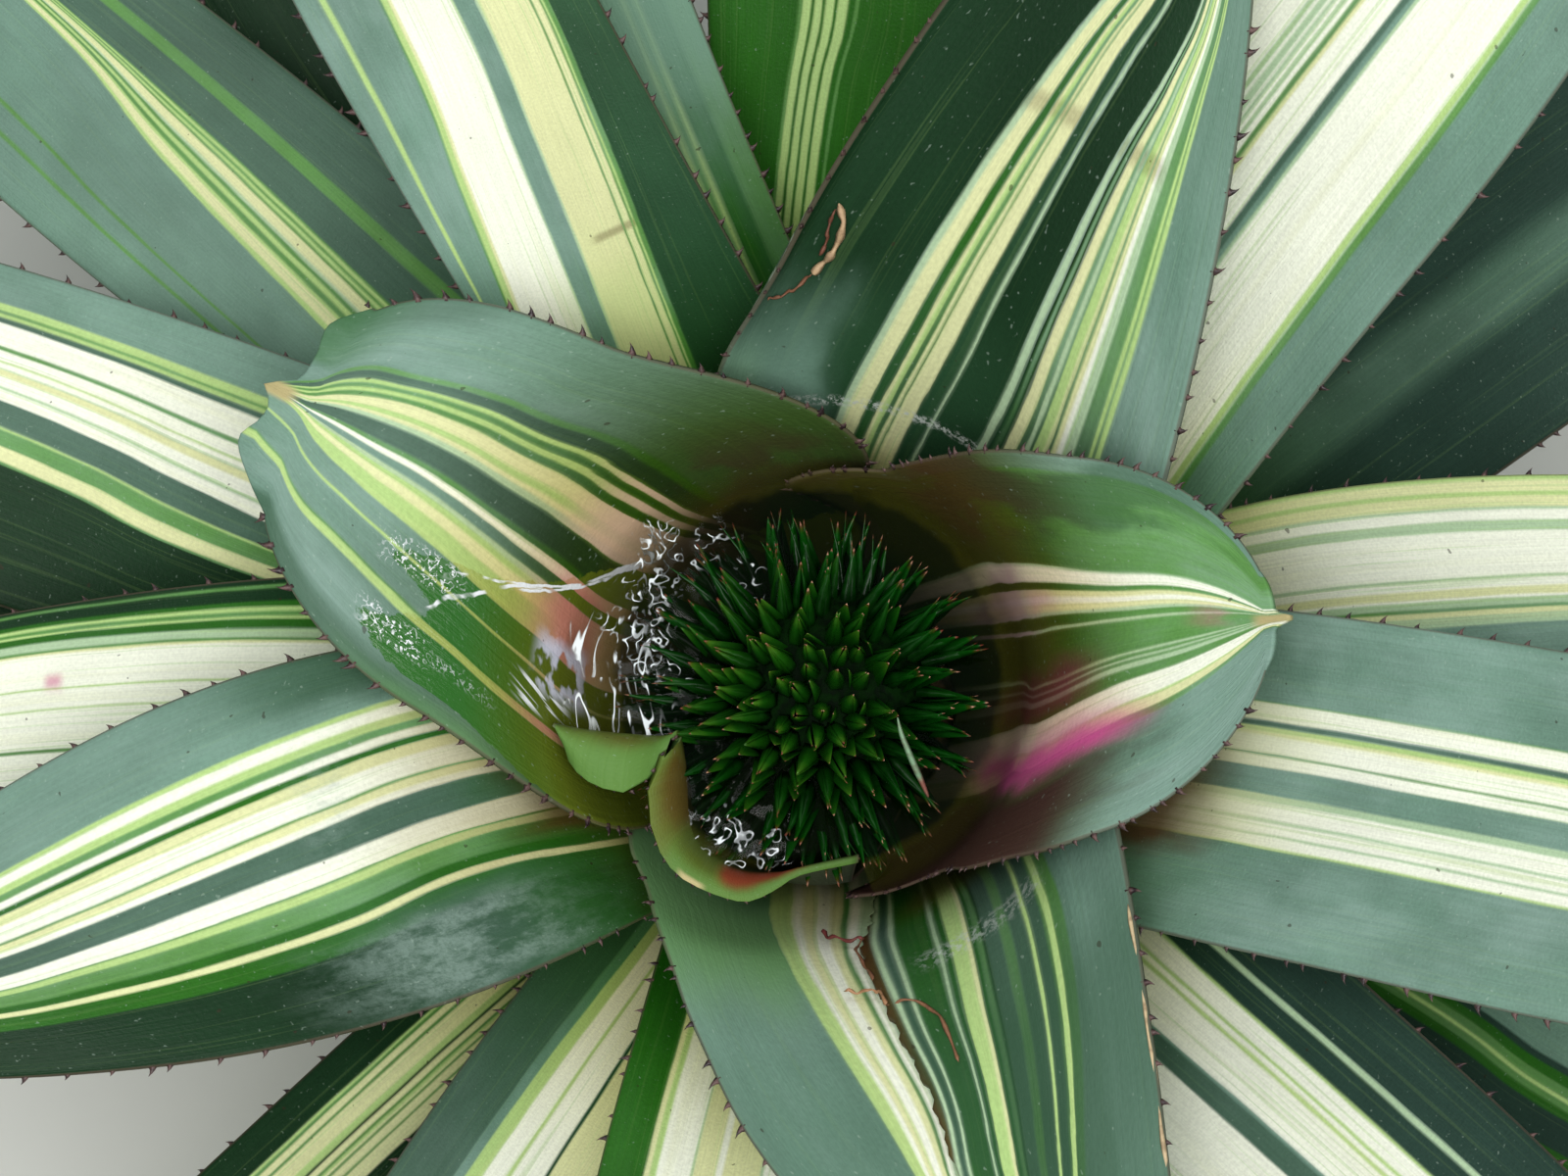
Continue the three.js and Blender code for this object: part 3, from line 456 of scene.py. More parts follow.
def opened(leaf, s, v):
    """Points of the inner bract, which stands in the pool and opens out above the water."""
    s, v = np.broadcast_arrays(s, v)
    foot = leaf_points(leaf, np.minimum(s, BRACT_FOOT), v, 0.0)
    at_water = stations(v, [(*place, WATER_LEVEL) for place in BRACT_AT_WATER])
    margin = upright(stations(v, BRACT_MARGIN))
    bend = 2 * upright(at_water) - (foot + margin) / 2
    t = np.clip((s - BRACT_FOOT) / (leaf["length"] - BRACT_FOOT), 0, 1)[..., None]
    return (1 - t) ** 2 * foot + 2 * t * (1 - t) * bend + t * t * margin


def leaf_shape(leaf, s, v, off):
    """Points of a leaf with what is its own: a rolled margin, an opened form or a drooping end."""
    if "roll" in leaf:
        return rolled(leaf, s, v, off)
    if "opens" in leaf:
        points = opened(leaf, s, v)
        along = opened(leaf, s + 0.1, v) - opened(leaf, s - 0.1, v)
        across = opened(leaf, s, v + 0.01) - opened(leaf, s, v - 0.01)
        inward = np.cross(across, along)
        inward = inward / np.maximum(np.linalg.norm(inward, axis=-1, keepdims=True), 1e-9)
        return points - inward * np.asarray(off)[..., None]
    points = leaf_points(leaf, s, v, off)
    if "end" in leaf:
        points[..., 2] -= 0.05 * np.clip(s - 0.9 * leaf["length"], 0, None) ** 2 * np.abs(v)
    return points


def leaf_end(leaf, v):
    """How far a leaf reaches along each line of its grid."""
    spur = leaf.get("spur", 0.0) * np.exp(-((v - leaf.get("spur_at", 0.0)) / 0.1) ** 2)
    if "end" in leaf:
        return curve_through(v, *leaf["end"]) + spur
    return leaf["length"] * (1 - (1 - leaf.get("blunt", 1.0)) * np.abs(v) ** 3) + spur


def thickness(leaf, s, v):
    """How thick a leaf is: thin in its sheath, thinner again towards its tip and its margins."""
    blade = ease((s - SHEATH_ENDS) / SHEATH_FADES)
    rise = SHEATH_THICKNESS + (BLADE_THICKNESS - SHEATH_THICKNESS) * blade
    f = s / leaf["length"]
    along = rise + (TIP_THICKNESS - rise) * ease((f - 0.7) / 0.3)
    return along * np.sqrt(np.clip(1 - 0.8 * v ** 4, 0.05, 1)) * (1 - 0.3 * v * v)


for leaf in LEAVES:
    leaf["path"] = leaf_path(leaf)


# Meshes

def mesh_piece(name, points, faces, material, maps):
    """A smooth mesh object from points in millimetres, with UV maps given for each corner."""
    mesh = bpy.data.meshes.new(name)
    mesh.from_pydata((np.asarray(points) * MM).tolist(), [], faces)
    for map_name, uv in maps.items():
        layer = mesh.uv_layers.new(name=map_name)
        layer.data.foreach_set("uv", uv.astype(np.float32).ravel())
    mesh.polygons.foreach_set("use_smooth", np.full(len(mesh.polygons), True))
    mesh.materials.append(material)
    mesh.validate()
    piece = bpy.data.objects.new(name, mesh)
    bpy.context.scene.collection.objects.link(piece)
    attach(piece, "root")
    return piece


def grid_faces(rows, columns, start, flip=False):
    """Quads of a grid of points."""
    i, j = np.meshgrid(np.arange(rows - 1), np.arange(columns - 1), indexing="ij")
    a = start + i * columns + j
    quads = np.stack([a, a + columns, a + columns + 1, a + 1], -1).reshape(-1, 4)
    return quads[:, ::-1] if flip else quads


def blade_mesh(upper, lower, across, along):
    """Closed sheet from two grids of points, with its UV maps: one for the pattern, where the
    underside is moved up by two, and one without overlaps."""
    rows, columns = upper.shape[:2]
    points = np.concatenate([upper.reshape(-1, 3), lower.reshape(-1, 3)])
    top = grid_faces(rows, columns, 0)
    under = grid_faces(rows, columns, rows * columns, flip=True)
    index = np.arange(rows * columns).reshape(rows, columns)
    rim = np.concatenate([index[0, :], index[1:, -1], index[-1, -2::-1], index[-2:0:-1, 0]])
    turned = np.roll(rim, -1)
    side = np.stack([rim, turned, turned + rows * columns, rim + rows * columns], -1)
    faces = np.concatenate([top, under, side])
    flat = np.stack([across.ravel(), along.ravel()], -1)
    pattern = np.concatenate([flat[top.ravel()], flat[(under - rows * columns).ravel()] + [0, 2],
                              flat[(side % (rows * columns)).ravel()]])
    sheet = np.stack([across.ravel() * 0.46 + 0.02, along.ravel() * 0.94 + 0.03], -1)
    edge = sheet[(side % (rows * columns)).ravel()]
    bake = np.concatenate([sheet[top.ravel()], sheet[(under - rows * columns).ravel()] + [0.5, 0], edge])
    return points, faces.tolist(), {"leaf": pattern, "OFBake": bake}


# Materials

def linear(colour):
    """A colour of 8-bit sRGB as the nodes take it."""
    c = np.array(colour, float) / 255
    c = np.where(c <= 0.04045, c / 12.92, ((c + 0.055) / 1.055) ** 2.4)
    return (*c, 1.0)


class Value:
    """What a node gives. Plus, minus and times with it add a node to its shader."""

    def __init__(self, shader, socket):
        self.shader, self.socket = shader, socket

    def __add__(self, other):
        return self.shader.math("ADD", self, other)

    def __radd__(self, other):
        return self.shader.math("ADD", other, self)

    def __sub__(self, other):
        return self.shader.math("SUBTRACT", self, other)

    def __mul__(self, other):
        return self.shader.math("MULTIPLY", self, other)


class Shader:
    """One node material, with short ways to add nodes to it."""

    def __init__(self, name):
        self.material = bpy.data.materials.new(name)
        self.material.use_nodes = True
        self.tree = self.material.node_tree
        self.surface = self.tree.nodes["Principled BSDF"]

    def put(self, socket, value):
        if isinstance(value, Value):
            self.tree.links.new(value.socket, socket)
        else:
            socket.default_value = value

    def node(self, kind, inputs=(), **settings):
        node = self.tree.nodes.new(kind)
        for name, value in settings.items():
            setattr(node, name, value)
        for name, value in dict(inputs).items():
            self.put(node.inputs[name], value)
        return node

    def value(self, kind, inputs=(), output=0, **settings):
        """One output of a new node."""
        return Value(self, self.node(kind, inputs, **settings).outputs[output])

    def place(self):
        """Where a point lies, in metres."""
        return self.value("ShaderNodeTexCoord", output="Object")

    def parts(self, vector):
        """The first two numbers of a vector."""
        split = self.node("ShaderNodeSeparateXYZ", {0: vector})
        return Value(self, split.outputs[0]), Value(self, split.outputs[1])

    def uv(self, name):
        """The two coordinates of a UV map."""
        return self.parts(self.value("ShaderNodeUVMap", uv_map=name))

    def math(self, operation, a, b=0.0, clamp=False):
        return self.value("ShaderNodeMath", {0: a, 1: b}, operation=operation, use_clamp=clamp)

    def larger(self, a, b):
        return self.math("MAXIMUM", a, b)

    def less(self, a):
        """What a mask leaves free."""
        return self.math("SUBTRACT", 1.0, a, clamp=True)

    def apart(self, a, b):
        return self.math("ABSOLUTE", a - b)

    def swing(self, noise, amount):
        """A noise as a shift to either side of nought."""
        return (noise - 0.5) * amount

    def vector(self, x, y, z=0.0):
        return self.value("ShaderNodeCombineXYZ", {0: x, 1: y, 2: z})

    def noise(self, vector, scale=1.0, detail=2.0, roughness=0.5):
        inputs = {"Vector": vector, "Scale": scale, "Detail": detail, "Roughness": roughness}
        return self.value("ShaderNodeTexNoise", inputs, "Fac")

    def step(self, x, low, high, to_low=0.0, to_high=1.0):
        """Smooth step of x between low and high."""
        inputs = {"Value": x, "From Min": low, "From Max": high, "To Min": to_low, "To Max": to_high}
        return self.value("ShaderNodeMapRange", inputs, interpolation_type="SMOOTHSTEP")

    def curve(self, x, points):
        """Smooth curve through points (x, value)."""
        node = self.node("ShaderNodeFloatCurve", {"Value": x})
        line = node.mapping.curves[0]
        while len(line.points) < len(points):
            line.points.new(0.5, 0.5)
        for knot, point in zip(line.points, points):
            knot.location = point
        node.mapping.update()
        return Value(self, node.outputs[0])

    def mix(self, factor, a, b, blend="MIX"):
        node = self.node("ShaderNodeMix", data_type="RGBA", blend_type=blend)
        self.put(node.inputs[0], factor)
        self.put(node.inputs[6], a)
        self.put(node.inputs[7], b)
        return Value(self, node.outputs[2])

    def paint(self, colour, mask, rgb):
        """A colour with another over it where the mask says, as 8-bit sRGB."""
        return self.mix(mask, colour, linear(rgb))

    def between(self, factor, low, high):
        """A colour between two of 8-bit sRGB."""
        return self.mix(factor, linear(low), linear(high))

    def times(self, colour, other):
        return self.mix(1.0, colour, other, "MULTIPLY")

    def mix_value(self, factor, a, b):
        """A number between a and b."""
        return a + factor * (b - a)

    def grey(self, value):
        return self.vector(value, value, value)

    def ramp(self, factor, stops):
        """A ramp through (position, colour), with colours as 8-bit sRGB."""
        node = self.node("ShaderNodeValToRGB", {"Fac": factor})
        ramp = node.color_ramp
        while len(ramp.elements) < len(stops):
            ramp.elements.new(1.0)
        for element, (position, _) in zip(ramp.elements, stops):
            element.position = position
        for element, (_, colour) in zip(ramp.elements, stops):
            element.color = linear(colour)
        return Value(self, node.outputs[0])

    def box(self, x, y, sides, soft_x, soft_y):
        """1 inside a rectangle of x and y, from its four sides, falling softly to 0 round it."""
        x0, x1, y0, y1 = sides
        inside_x = self.step(x, x0 - soft_x, x0 + soft_x) * self.step(x, x1 + soft_x, x1 - soft_x)
        inside_y = self.step(y, y0 - soft_y, y0 + soft_y) * self.step(y, y1 + soft_y, y1 - soft_y)
        return inside_x * inside_y

    def bump(self, height, distance, normal=None):
        inputs = {"Height": height, "Distance": distance, "Strength": 1.0}
        if normal is not None:
            inputs["Normal"] = normal
        return self.value("ShaderNodeBump", inputs)

    def finish(self, colour, roughness, normal=None, specular=0.5):
        inputs = {"Base Color": colour, "Roughness": roughness, "Specular IOR Level": specular}
        if normal is not None:
            inputs["Normal"] = normal
        for name, value in inputs.items():
            self.put(self.surface.inputs[name], value)
        return self.material


class LeafShader(Shader):
    """The material of one leaf. across and along run from 0 to 1, length counts in breadths, and
    pattern says where a point lies among the stripes."""

    def __init__(self, name, leaf, seed, guides, flow):
        super().__init__(name)
        self.leaf, self.seed = leaf, seed
        self.across, raw = self.uv("leaf")
        self.under = self.math("GREATER_THAN", raw, 1.5)
        self.along = raw - self.under * 2.0
        self.length = self.along * (leaf["length"] / leaf["width"])
        wander = self.spread(self.across, 5.0, 1.3)
        shiver = self.spread(self.across, 70.0, 5.0)
        shift = self.swing(wander, 0.01) + self.swing(shiver, 0.006)
        self.pattern = self.follow(guides, flow) + shift

    def spread(self, x, wide, long, shift=0.0, detail=2.0, roughness=0.5):
        """Noise over the leaf, with how often it changes over x and over the length."""
        vector = self.vector(x * wide, self.length * long, self.seed + shift)
        return self.noise(vector, 1.0, detail, roughness)

    def follow(self, guides, flow):
        """Where a point lies in the pattern: between guide lines that run along the leaf as flow says."""
        place, before, guide_before = 0.0, 0.0, 0.0
        along = self.math("MINIMUM", self.along, 1.0)
        for index, guide in enumerate((*guides, 1.0)):
            line = 1.0
            if index < len(guides):
                line = self.curve(along, [(row[0], row[index + 1]) for row in flow])
            inputs = {"Value": self.across, "From Min": before, "From Max": line,
                      "To Min": 0.0, "To Max": guide - guide_before}
            place = place + self.value("ShaderNodeMapRange", inputs)
            before, guide_before = line, guide
        return place


RAMP_STOPS = 30
STRIPE_EDGE = 0.0034


def read_stripes(text):
    """Stripes as (end, colour) from their letters and percentages."""
    return [(float(word[1:]) / 100, COLOURS[word[0]]) for word in text.split()]


def random_stripes(random):
    """A variegated pattern for a leaf that the photograph doesn't show."""
    at = random.uniform(14, 34)
    words = [f"{random.choice(['k', 'd', 'w'])}{at:.1f}"]
    stop = 100 - random.uniform(12, 34)
    while at < stop - 3:
        pale = random.choice(["c", "c", "y"])
        at = min(stop, at + random.uniform(2.5, 12))
        words.append(f"{pale}{at:.1f}")
        at = min(stop, at + random.uniform(0.5, 2.4))
        words.append(f"{random.choice(['g', 'l', 's', 's'])}{at:.1f}")
    words.append(f"{random.choice(['w', 'd'])}100")
    return " ".join(words)


def stripe_colour(shader, stripes, blur):
    """The colour of the stripes: as many colour ramps as their stops need, one after another."""
    stripes = read_stripes(stripes)
    stops = [(0.0, stripes[0][1])]
    for (end, colour), (_, following) in zip(stripes, stripes[1:]):
        stops += [(end - blur, colour), (end + blur, following)]
    stops = [(min(max(position, 0.0), 1.0), colour) for position, colour in stops]
    result = None
    for start in range(0, len(stops), RAMP_STOPS - 2):
        part = stops[start:start + RAMP_STOPS]
        colour = shader.ramp(shader.pattern, part)
        if result is None:
            result = colour
        else:
            result = shader.mix(shader.math("GREATER_THAN", shader.pattern, part[0][0]), result, colour)
    return result


def add_veins(shader, colour, pale, dark):
    """Fine lines along the veins, faint green ones in the pale stripes, and a grain like leather.
    Gives the relief of the surface too."""
    fine = shader.spread(shader.pattern, 85.0, 0.7, 3.1, 1.0)
    line = shader.step(fine, 0.6, 0.7)
    colour = shader.paint(colour, line * pale * 0.35, (170, 204, 132))
    colour = shader.paint(colour, line * dark * 0.07, (150, 186, 110))
    broad = shader.step(shader.spread(shader.pattern, 26.0, 0.5, 9.0), 0.5, 0.8)
    colour = shader.paint(colour, broad * (pale * 0.2), (222, 226, 158))
    veins = shader.spread(shader.pattern, 210.0, 2.5, 0.0, 3.0)
    grain = shader.spread(shader.across, 110.0, 110.0)
    cloud = shader.spread(shader.across, 2.0, 1.4, 5.0, 3.0, 0.6)
    shade = shader.step(veins, 0.25, 0.75, 0.94, 1.06) * shader.step(grain, 0.25, 0.75, 0.94, 1.06)
    shade = shade * shader.step(cloud, 0.3, 0.7, shader.mix_value(dark, 0.97, 0.78), 1.08)
    ribs = shader.bump(veins * 0.4 + fine * 0.6, 0.00012)
    return shader.times(colour, shader.grey(shade)), shader.bump(grain, 0.00007, normal=ribs)


def bloom_mask(shader, clouds, where):
    """Where waxy bloom lies, wiped thin in streaks."""
    streak = shader.spread(shader.pattern, 48.0, 1.6, 8.0, 3.0, 0.6)
    bloom = shader.step(clouds, 0.32, 0.7) * shader.step(streak, 0.3, 0.7, 0.6, 1.0)
    return bloom * where * shader.leaf.get("bloom", 0.2)


def add_wear(shader, colour, dark):
    """Specks, dust, the margin's thin line, the dry tip and the paler underside."""
    leaf, across, along = shader.leaf, shader.across, shader.along
    specks = shader.step(shader.spread(across, 34.0, 34.0, 0.0, 1.0), 0.785, 0.8)
    colour = shader.paint(colour, specks * 0.6, (52, 44, 30))
    dust = shader.step(shader.spread(across, 80.0, 80.0, 2.0, 1.0), 0.7, 0.8)
    colour = shader.paint(colour, dust * (dark * 0.25), (180, 200, 184))
    rim = shader.step(shader.apart(across, 0.5), 0.492, 0.499)
    colour = shader.paint(colour, rim * 0.6, (96, 82, 70))
    tip = shader.step(along, 0.982, 1.0)
    if leaf.get("round"):
        aside = shader.apart(across, 0.5 - leaf.get("spur_at", 0.0) / 2)
        tip = shader.step(along, 0.96, 0.985) * shader.step(aside, 0.055, 0.02)
    colour = shader.paint(colour, tip, COLOURS["t"])
    bands = shader.spread(across, 9.0, 70.0, 0.0, 3.0)
    scurf = shader.step(bands, 0.45, 0.6, 0.1, leaf.get("scurf", 0.6))
    return shader.mix(shader.under, colour, shader.paint(colour, scurf, (150, 160, 146)))


def leaf_material(leaf, name, stripes, guides, flow, seed):
    """The finish of a leaf: its stripes, veins, bloom and patches, and water where it is wet."""
    shader = LeafShader(name, leaf, seed, guides, flow)
    colour = stripe_colour(shader, stripes, leaf.get("blur", STRIPE_EDGE))
    lightness = shader.value("ShaderNodeRGBToBW", {0: colour})
    pale = shader.step(lightness, 0.34, 0.52)
    dark = shader.less(pale)
    waxy = shader.step(lightness, 0.06, 0.2) * dark
    colour, relief = add_veins(shader, colour, pale, dark)

    # Near the base, where the leaves crowd and shade one another, the green is fresher and painted darker,
    # and the pale stripes are yellower and painted dimmer: painted shade over the leaf's own tints
    near = shader.step(shader.along, *leaf.get("fresh_and_shaded_base", (0.38, 0.16)))
    pale_base_tint_and_shade, deep_shade = leaf.get("pale_base_tint_and_shade", (0.96, 0.9, 0.62)), leaf.get("deep_shade", (0.5, 0.8, 0.34))
    colour = shader.mix(near, colour, shader.times(colour, shader.mix(dark, (*pale_base_tint_and_shade, 1), (*deep_shade, 1))))

    clouds = shader.spread(shader.across, 4.0, 2.0, 7.0, 4.0, 0.6)
    bloom = bloom_mask(shader, clouds, waxy * shader.less(near))
    rough, specular = shader.step(clouds, 0.3, 0.7, 0.42, 0.52), 0.14
    wet = None
    if leaf.get("wet"):
        wet = wet_mask(shader)
        bloom = bloom * shader.less(wet)
        rough = rough * shader.less(wet) + wet * 0.08
        specular = shader.step(wet, 0.0, 1.0, specular, 0.5)
    colour = add_patches(shader, shader.paint(colour, bloom, (178, 204, 196)), pale, dark)
    if wet is not None:
        colour = add_water(shader, colour, wet, pale, dark)
    return shader.finish(add_wear(shader, colour, dark), rough, relief, specular)


# The ragged line up to which water stands on the wet leaf: across, along
WET_TOP = [(0.0, 0.5), (0.037, 0.613), (0.056, 0.657), (0.065, 0.74), (0.1, 0.782), (0.137, 0.797),
           (0.18, 0.75), (0.24, 0.705), (0.27, 0.715), (0.31, 0.768), (0.35, 0.73), (0.39, 0.61),
           (0.45, 0.515), (0.5, 0.444), (0.55, 0.333), (0.62, 0.24), (1.0, 0.2)]

# Painted highlights on the wet leaf, as lines of light: where each runs, across and along; then boxes where
# light is scattered
GLEAMS = [[(0.23, 0.712), (0.25, 0.7), (0.32, 0.653), (0.4, 0.562), (0.45, 0.478), (0.5, 0.405),
           (0.55, 0.345)],
          [(0.33, 0.685), (0.35, 0.673), (0.387, 0.609), (0.43, 0.53), (0.47, 0.455), (0.51, 0.4),
           (0.56, 0.335)],
          [(0.38, 0.603), (0.4, 0.576), (0.44, 0.505), (0.48, 0.43), (0.52, 0.375), (0.55, 0.335),
           (0.57, 0.31)]]
SPARKLES = [(0.11, 0.18, 0.7, 0.79, 1.0), (0.29, 0.36, 0.66, 0.78, 0.9), (0.12, 0.15, 0.6, 0.7, 0.4)]
STREAM = (0.19, 0.25, 0.44, 0.545)
SKY_GLEAM = (0.24, 0.35, 0.385, 0.51)


def wet_mask(shader):
    """Where water stands on the leaf: below a ragged line that runs up from the pool."""
    place = shader.vector(shader.across * 30.0, shader.along * 45.0, shader.seed)
    shift = shader.swing(shader.noise(place, 1.0, 4.0, 0.7), 0.07)
    below = shader.curve(shader.across, WET_TOP) - shader.along - shift
    return shader.step(below, 0.0, 0.006)


def add_water(shader, colour, wet, pale, dark):
    """The tints of the leaf under the water, and the painted highlights and painted sky reflection on it."""
    under = shader.between(shader.step(shader.along, 0.66, 0.46), (46, 104, 36), (92, 104, 28))
    colour = shader.mix(wet * dark, colour, under)
    colour = shader.mix(wet * pale, colour, shader.times(colour, (0.86, 0.8, 0.6, 1)))
    gleam, sky = wet_gleam(shader)
    colour = shader.paint(colour, sky * 0.9, (214, 214, 232))
    return shader.paint(colour, gleam, (244, 246, 250))


def squiggles(shader, x, y, seed, width=0.07):
    """Bright winding lines, as stirred water mirrors a bright sky: x and y count in loops."""
    bend = shader.noise(shader.vector(x, y, seed + 5.0), 2.2, 1.0)
    field = shader.noise(shader.vector(x, y, seed), 1.0, 1.0) + bend * 0.16
    height = shader.apart(shader.math("FRACT", field * 5.0), 0.5)
    line = shader.step(height, width * 1.5, width * 0.6)
    broken = shader.noise(shader.vector(x, y, seed + 9.0), 1.3, 2.0)
    faint = shader.noise(shader.vector(x, y, seed + 13.0), 2.0, 1.0)
    return line * (shader.step(broken, 0.4, 0.48) * shader.step(faint, 0.4, 0.6, 0.45, 1.0))


def wet_gleam(shader):
    """Painted highlights on the wet leaf, and how strongly the sky's reflection is painted on it."""
    across, along, seed = shader.across, shader.along, shader.seed
    x, y = across * 56.0, along * 93.0
    jitter = shader.swing(shader.noise(shader.vector(x, y, seed), 0.3, 2.0), 0.03)
    gleam = 0.0
    for index, points in enumerate(GLEAMS):
        gaps = shader.noise(shader.vector(x, y * 0.6, seed + 4.0 * index), 0.4, 2.0)
        apart = shader.math("ABSOLUTE", along - shader.curve(across, points) + jitter)
        inside = shader.box(across, along, (points[0][0], points[-1][0], 0.3, 0.75), 0.01, 0.01)
        here = shader.step(apart, 0.007, 0.003) * shader.step(gaps, 0.38, 0.52)
        gleam = shader.larger(gleam, here * inside)
    lines = squiggles(shader, x * 0.55, y * 0.55, seed)
    frost = shader.noise(shader.vector(x, y, seed + 3.0), 2.4, 2.0)
    lines = shader.larger(lines, shader.step(frost, 0.6, 0.66))
    for *sides, strength in SPARKLES:
        inside = shader.box(across + jitter, along, sides, 0.012, 0.02)
        gleam = shader.larger(gleam, lines * inside * strength)
    slant = across + along * -0.46
    strands = shader.noise(shader.vector(slant * 90.0, y * 0.12, seed), 1.0, 1.0)
    inside = shader.box(across, along, STREAM, 0.01, 0.02)
    gleam = shader.larger(gleam, shader.step(strands, 0.52, 0.6) * inside)
    blot = shader.step(shader.noise(shader.vector(x, y, seed + 6.0), 0.28, 3.0), 0.44, 0.52)
    return gleam, shader.box(across + jitter, along, SKY_GLEAM, 0.02, 0.02) * blot


def add_patches(shader, colour, pale, dark):
    """The leaf's own patches, from its row of LEAVES."""
    across, along = shader.across, shader.along
    cloudy = shader.spread(across, 6.0, 3.0, 11.0, 4.0)
    shift = shader.swing(cloudy, 0.12)
    flecks = shader.spread(across, 75.0, 75.0, 13.0, 4.0, 0.7)
    streaks = shader.spread(across, 18.0, 8.0, 17.0, 6.0, 0.7)
    wiped = shader.step(streaks, 0.36, 0.6) * shader.step(flecks, 0.3, 0.6, 0.5, 1.0)
    masks = {"pale": pale, "dark": dark, "streaks": wiped, "scurf": shader.step(flecks, 0.45, 0.6),
             "clouds": shader.step(cloudy, 0.42, 0.58)}
    for finish, x0, x1, y0, y1, strength, where in shader.leaf.get("patches", []):
        soft = 0.35 * (y1 - y0)
        moved = along + shift * min(1, soft * 12)
        mask = shader.box(across + shift, moved, (x0, x1, y0, y1), 0.035, min(0.08, soft)) * strength
        if where in masks:
            mask = mask * masks[where]
        colour = shader.paint(colour, mask, COLOURS[finish])
    return colour


# Leaves

DARK_LEAVES = {"leaf_12", "leaf_21", "leaf_22", "leaf_23", "leaf_24", "leaf_25"}
ROWS, COLUMNS = 120, 30
TIP_CROWDING, MARGIN_CROWDING = 1.25, 0.12


def leaf_grid(leaf):
    """Distances along and across a leaf for a grid of points, closer near its margins and tip."""
    f = 1 - (1 - np.linspace(0, 1, ROWS)) ** TIP_CROWDING
    t = MARGIN_CROWDING + (1 - 2 * MARGIN_CROWDING) * np.linspace(0, 1, COLUMNS)
    v = np.cos(math.pi * t) / math.cos(math.pi * MARGIN_CROWDING) * np.ones((ROWS, 1))
    return f[:, None] * leaf_end(leaf, v), v


def make_leaf(leaf, name, stripes, guides, flow, seed, s, v, lift=0.0):
    """One leaf or half leaf as a closed sheet, with its own material."""
    half = thickness(leaf, s, v) / 2
    upper, lower = (leaf_shape(leaf, s, v, lift + side * half) for side in (1, -1))
    points, faces, maps = blade_mesh(lean(upper), lean(lower), (1 - v) / 2, s / leaf["length"])
    material = leaf_material(leaf, name + "_blade", stripes, guides, flow, seed)
    piece = mesh_piece(name, points, faces, material, maps)
    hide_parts(leaf["name"])
    ("inner_bract" if leaf["name"] == "inner_bract"
            else "dark_leaf" if leaf["name"] in DARK_LEAVES else "striped_leaf")


# The torn leaf: the tear runs along it, and the half on the right of the photograph laps over
TEAR = "torn_leaf"
TEAR_START, TEAR_OPENS = 30.0, 20.0
TEAR_LAP, TEAR_RISE, TEAR_SINK = 0.02, 0.8, -0.5
TEAR_LINE = ([0, 30, 42, 60, 76, 84, 92, 130], [-0.16, -0.15, -0.146, -0.097, -0.076, -0.124, -0.19, -0.3])
UNDER_HALF_STRIPES = "x54.4 b54.8 s57.2 c58.6 g59.5 y61 c62.9 y64.6 c65.7 l68.6 w100"
UNDER_HALF_GUIDES = (0.557, 0.686)
UNDER_HALF_FLOW = [(0.2, 0.58, 0.785), (0.3, 0.573, 0.738), (0.4, 0.557, 0.7), (0.5, 0.544, 0.68),
                   (0.6, 0.54, 0.672), (0.7, 0.6, 0.69), (0.8, 0.63, 0.71), (1.0, 0.66, 0.72)]


def tear_line(s):
    """Where across the leaf the tear runs."""
    return np.interp(s, *TEAR_LINE) + 0.008 * np.sin(s * 1.1) + 0.006 * np.sin(s * 2.7 + 1)


def make_torn_leaf(leaf):
    """The two halves of the torn leaf. Each reaches a little past the tear, one above, one below."""
    s, v = leaf_grid(leaf)
    line = tear_line(s)
    t = (v + 1) / 2
    open_share = ease((s - TEAR_START) / TEAR_OPENS)
    lap = TEAR_LAP * open_share
    over = line - lap + (1 - line + lap) * t
    rise = TEAR_RISE * open_share * ease(1 - (over - line) * 3)
    make_leaf(leaf, "torn_leaf", leaf["stripes"], leaf["guides"], leaf["flow"], 31.0, s, over, rise)
    under = -1 + (line + lap + 1) * t
    sink = TEAR_SINK * open_share * ease(1 + (under - line) * 3)
    make_leaf(leaf, "torn_leaf_under", UNDER_HALF_STRIPES, UNDER_HALF_GUIDES, UNDER_HALF_FLOW, 47.0,
              s, under, sink)


def make_leaves(random):
    """All leaves. Those that the photograph doesn't show get made-up stripes."""
    for leaf in LEAVES:
        if "stripes" not in leaf:
            leaf["stripes"] = random_stripes(random)
        if leaf["name"] == TEAR:
            make_torn_leaf(leaf)
            continue
        seed = 3.7 * leaf["order"] + 1
        make_leaf(leaf, leaf["name"], leaf["stripes"], leaf.get("guides", ()), leaf.get("flow", ()), seed,
                  *leaf_grid(leaf))


make_leaves(np.random.default_rng(7))


# Pointed forms: spines, bracts and threads

def unit(x):
    return x / np.linalg.norm(x, axis=-1, keepdims=True)


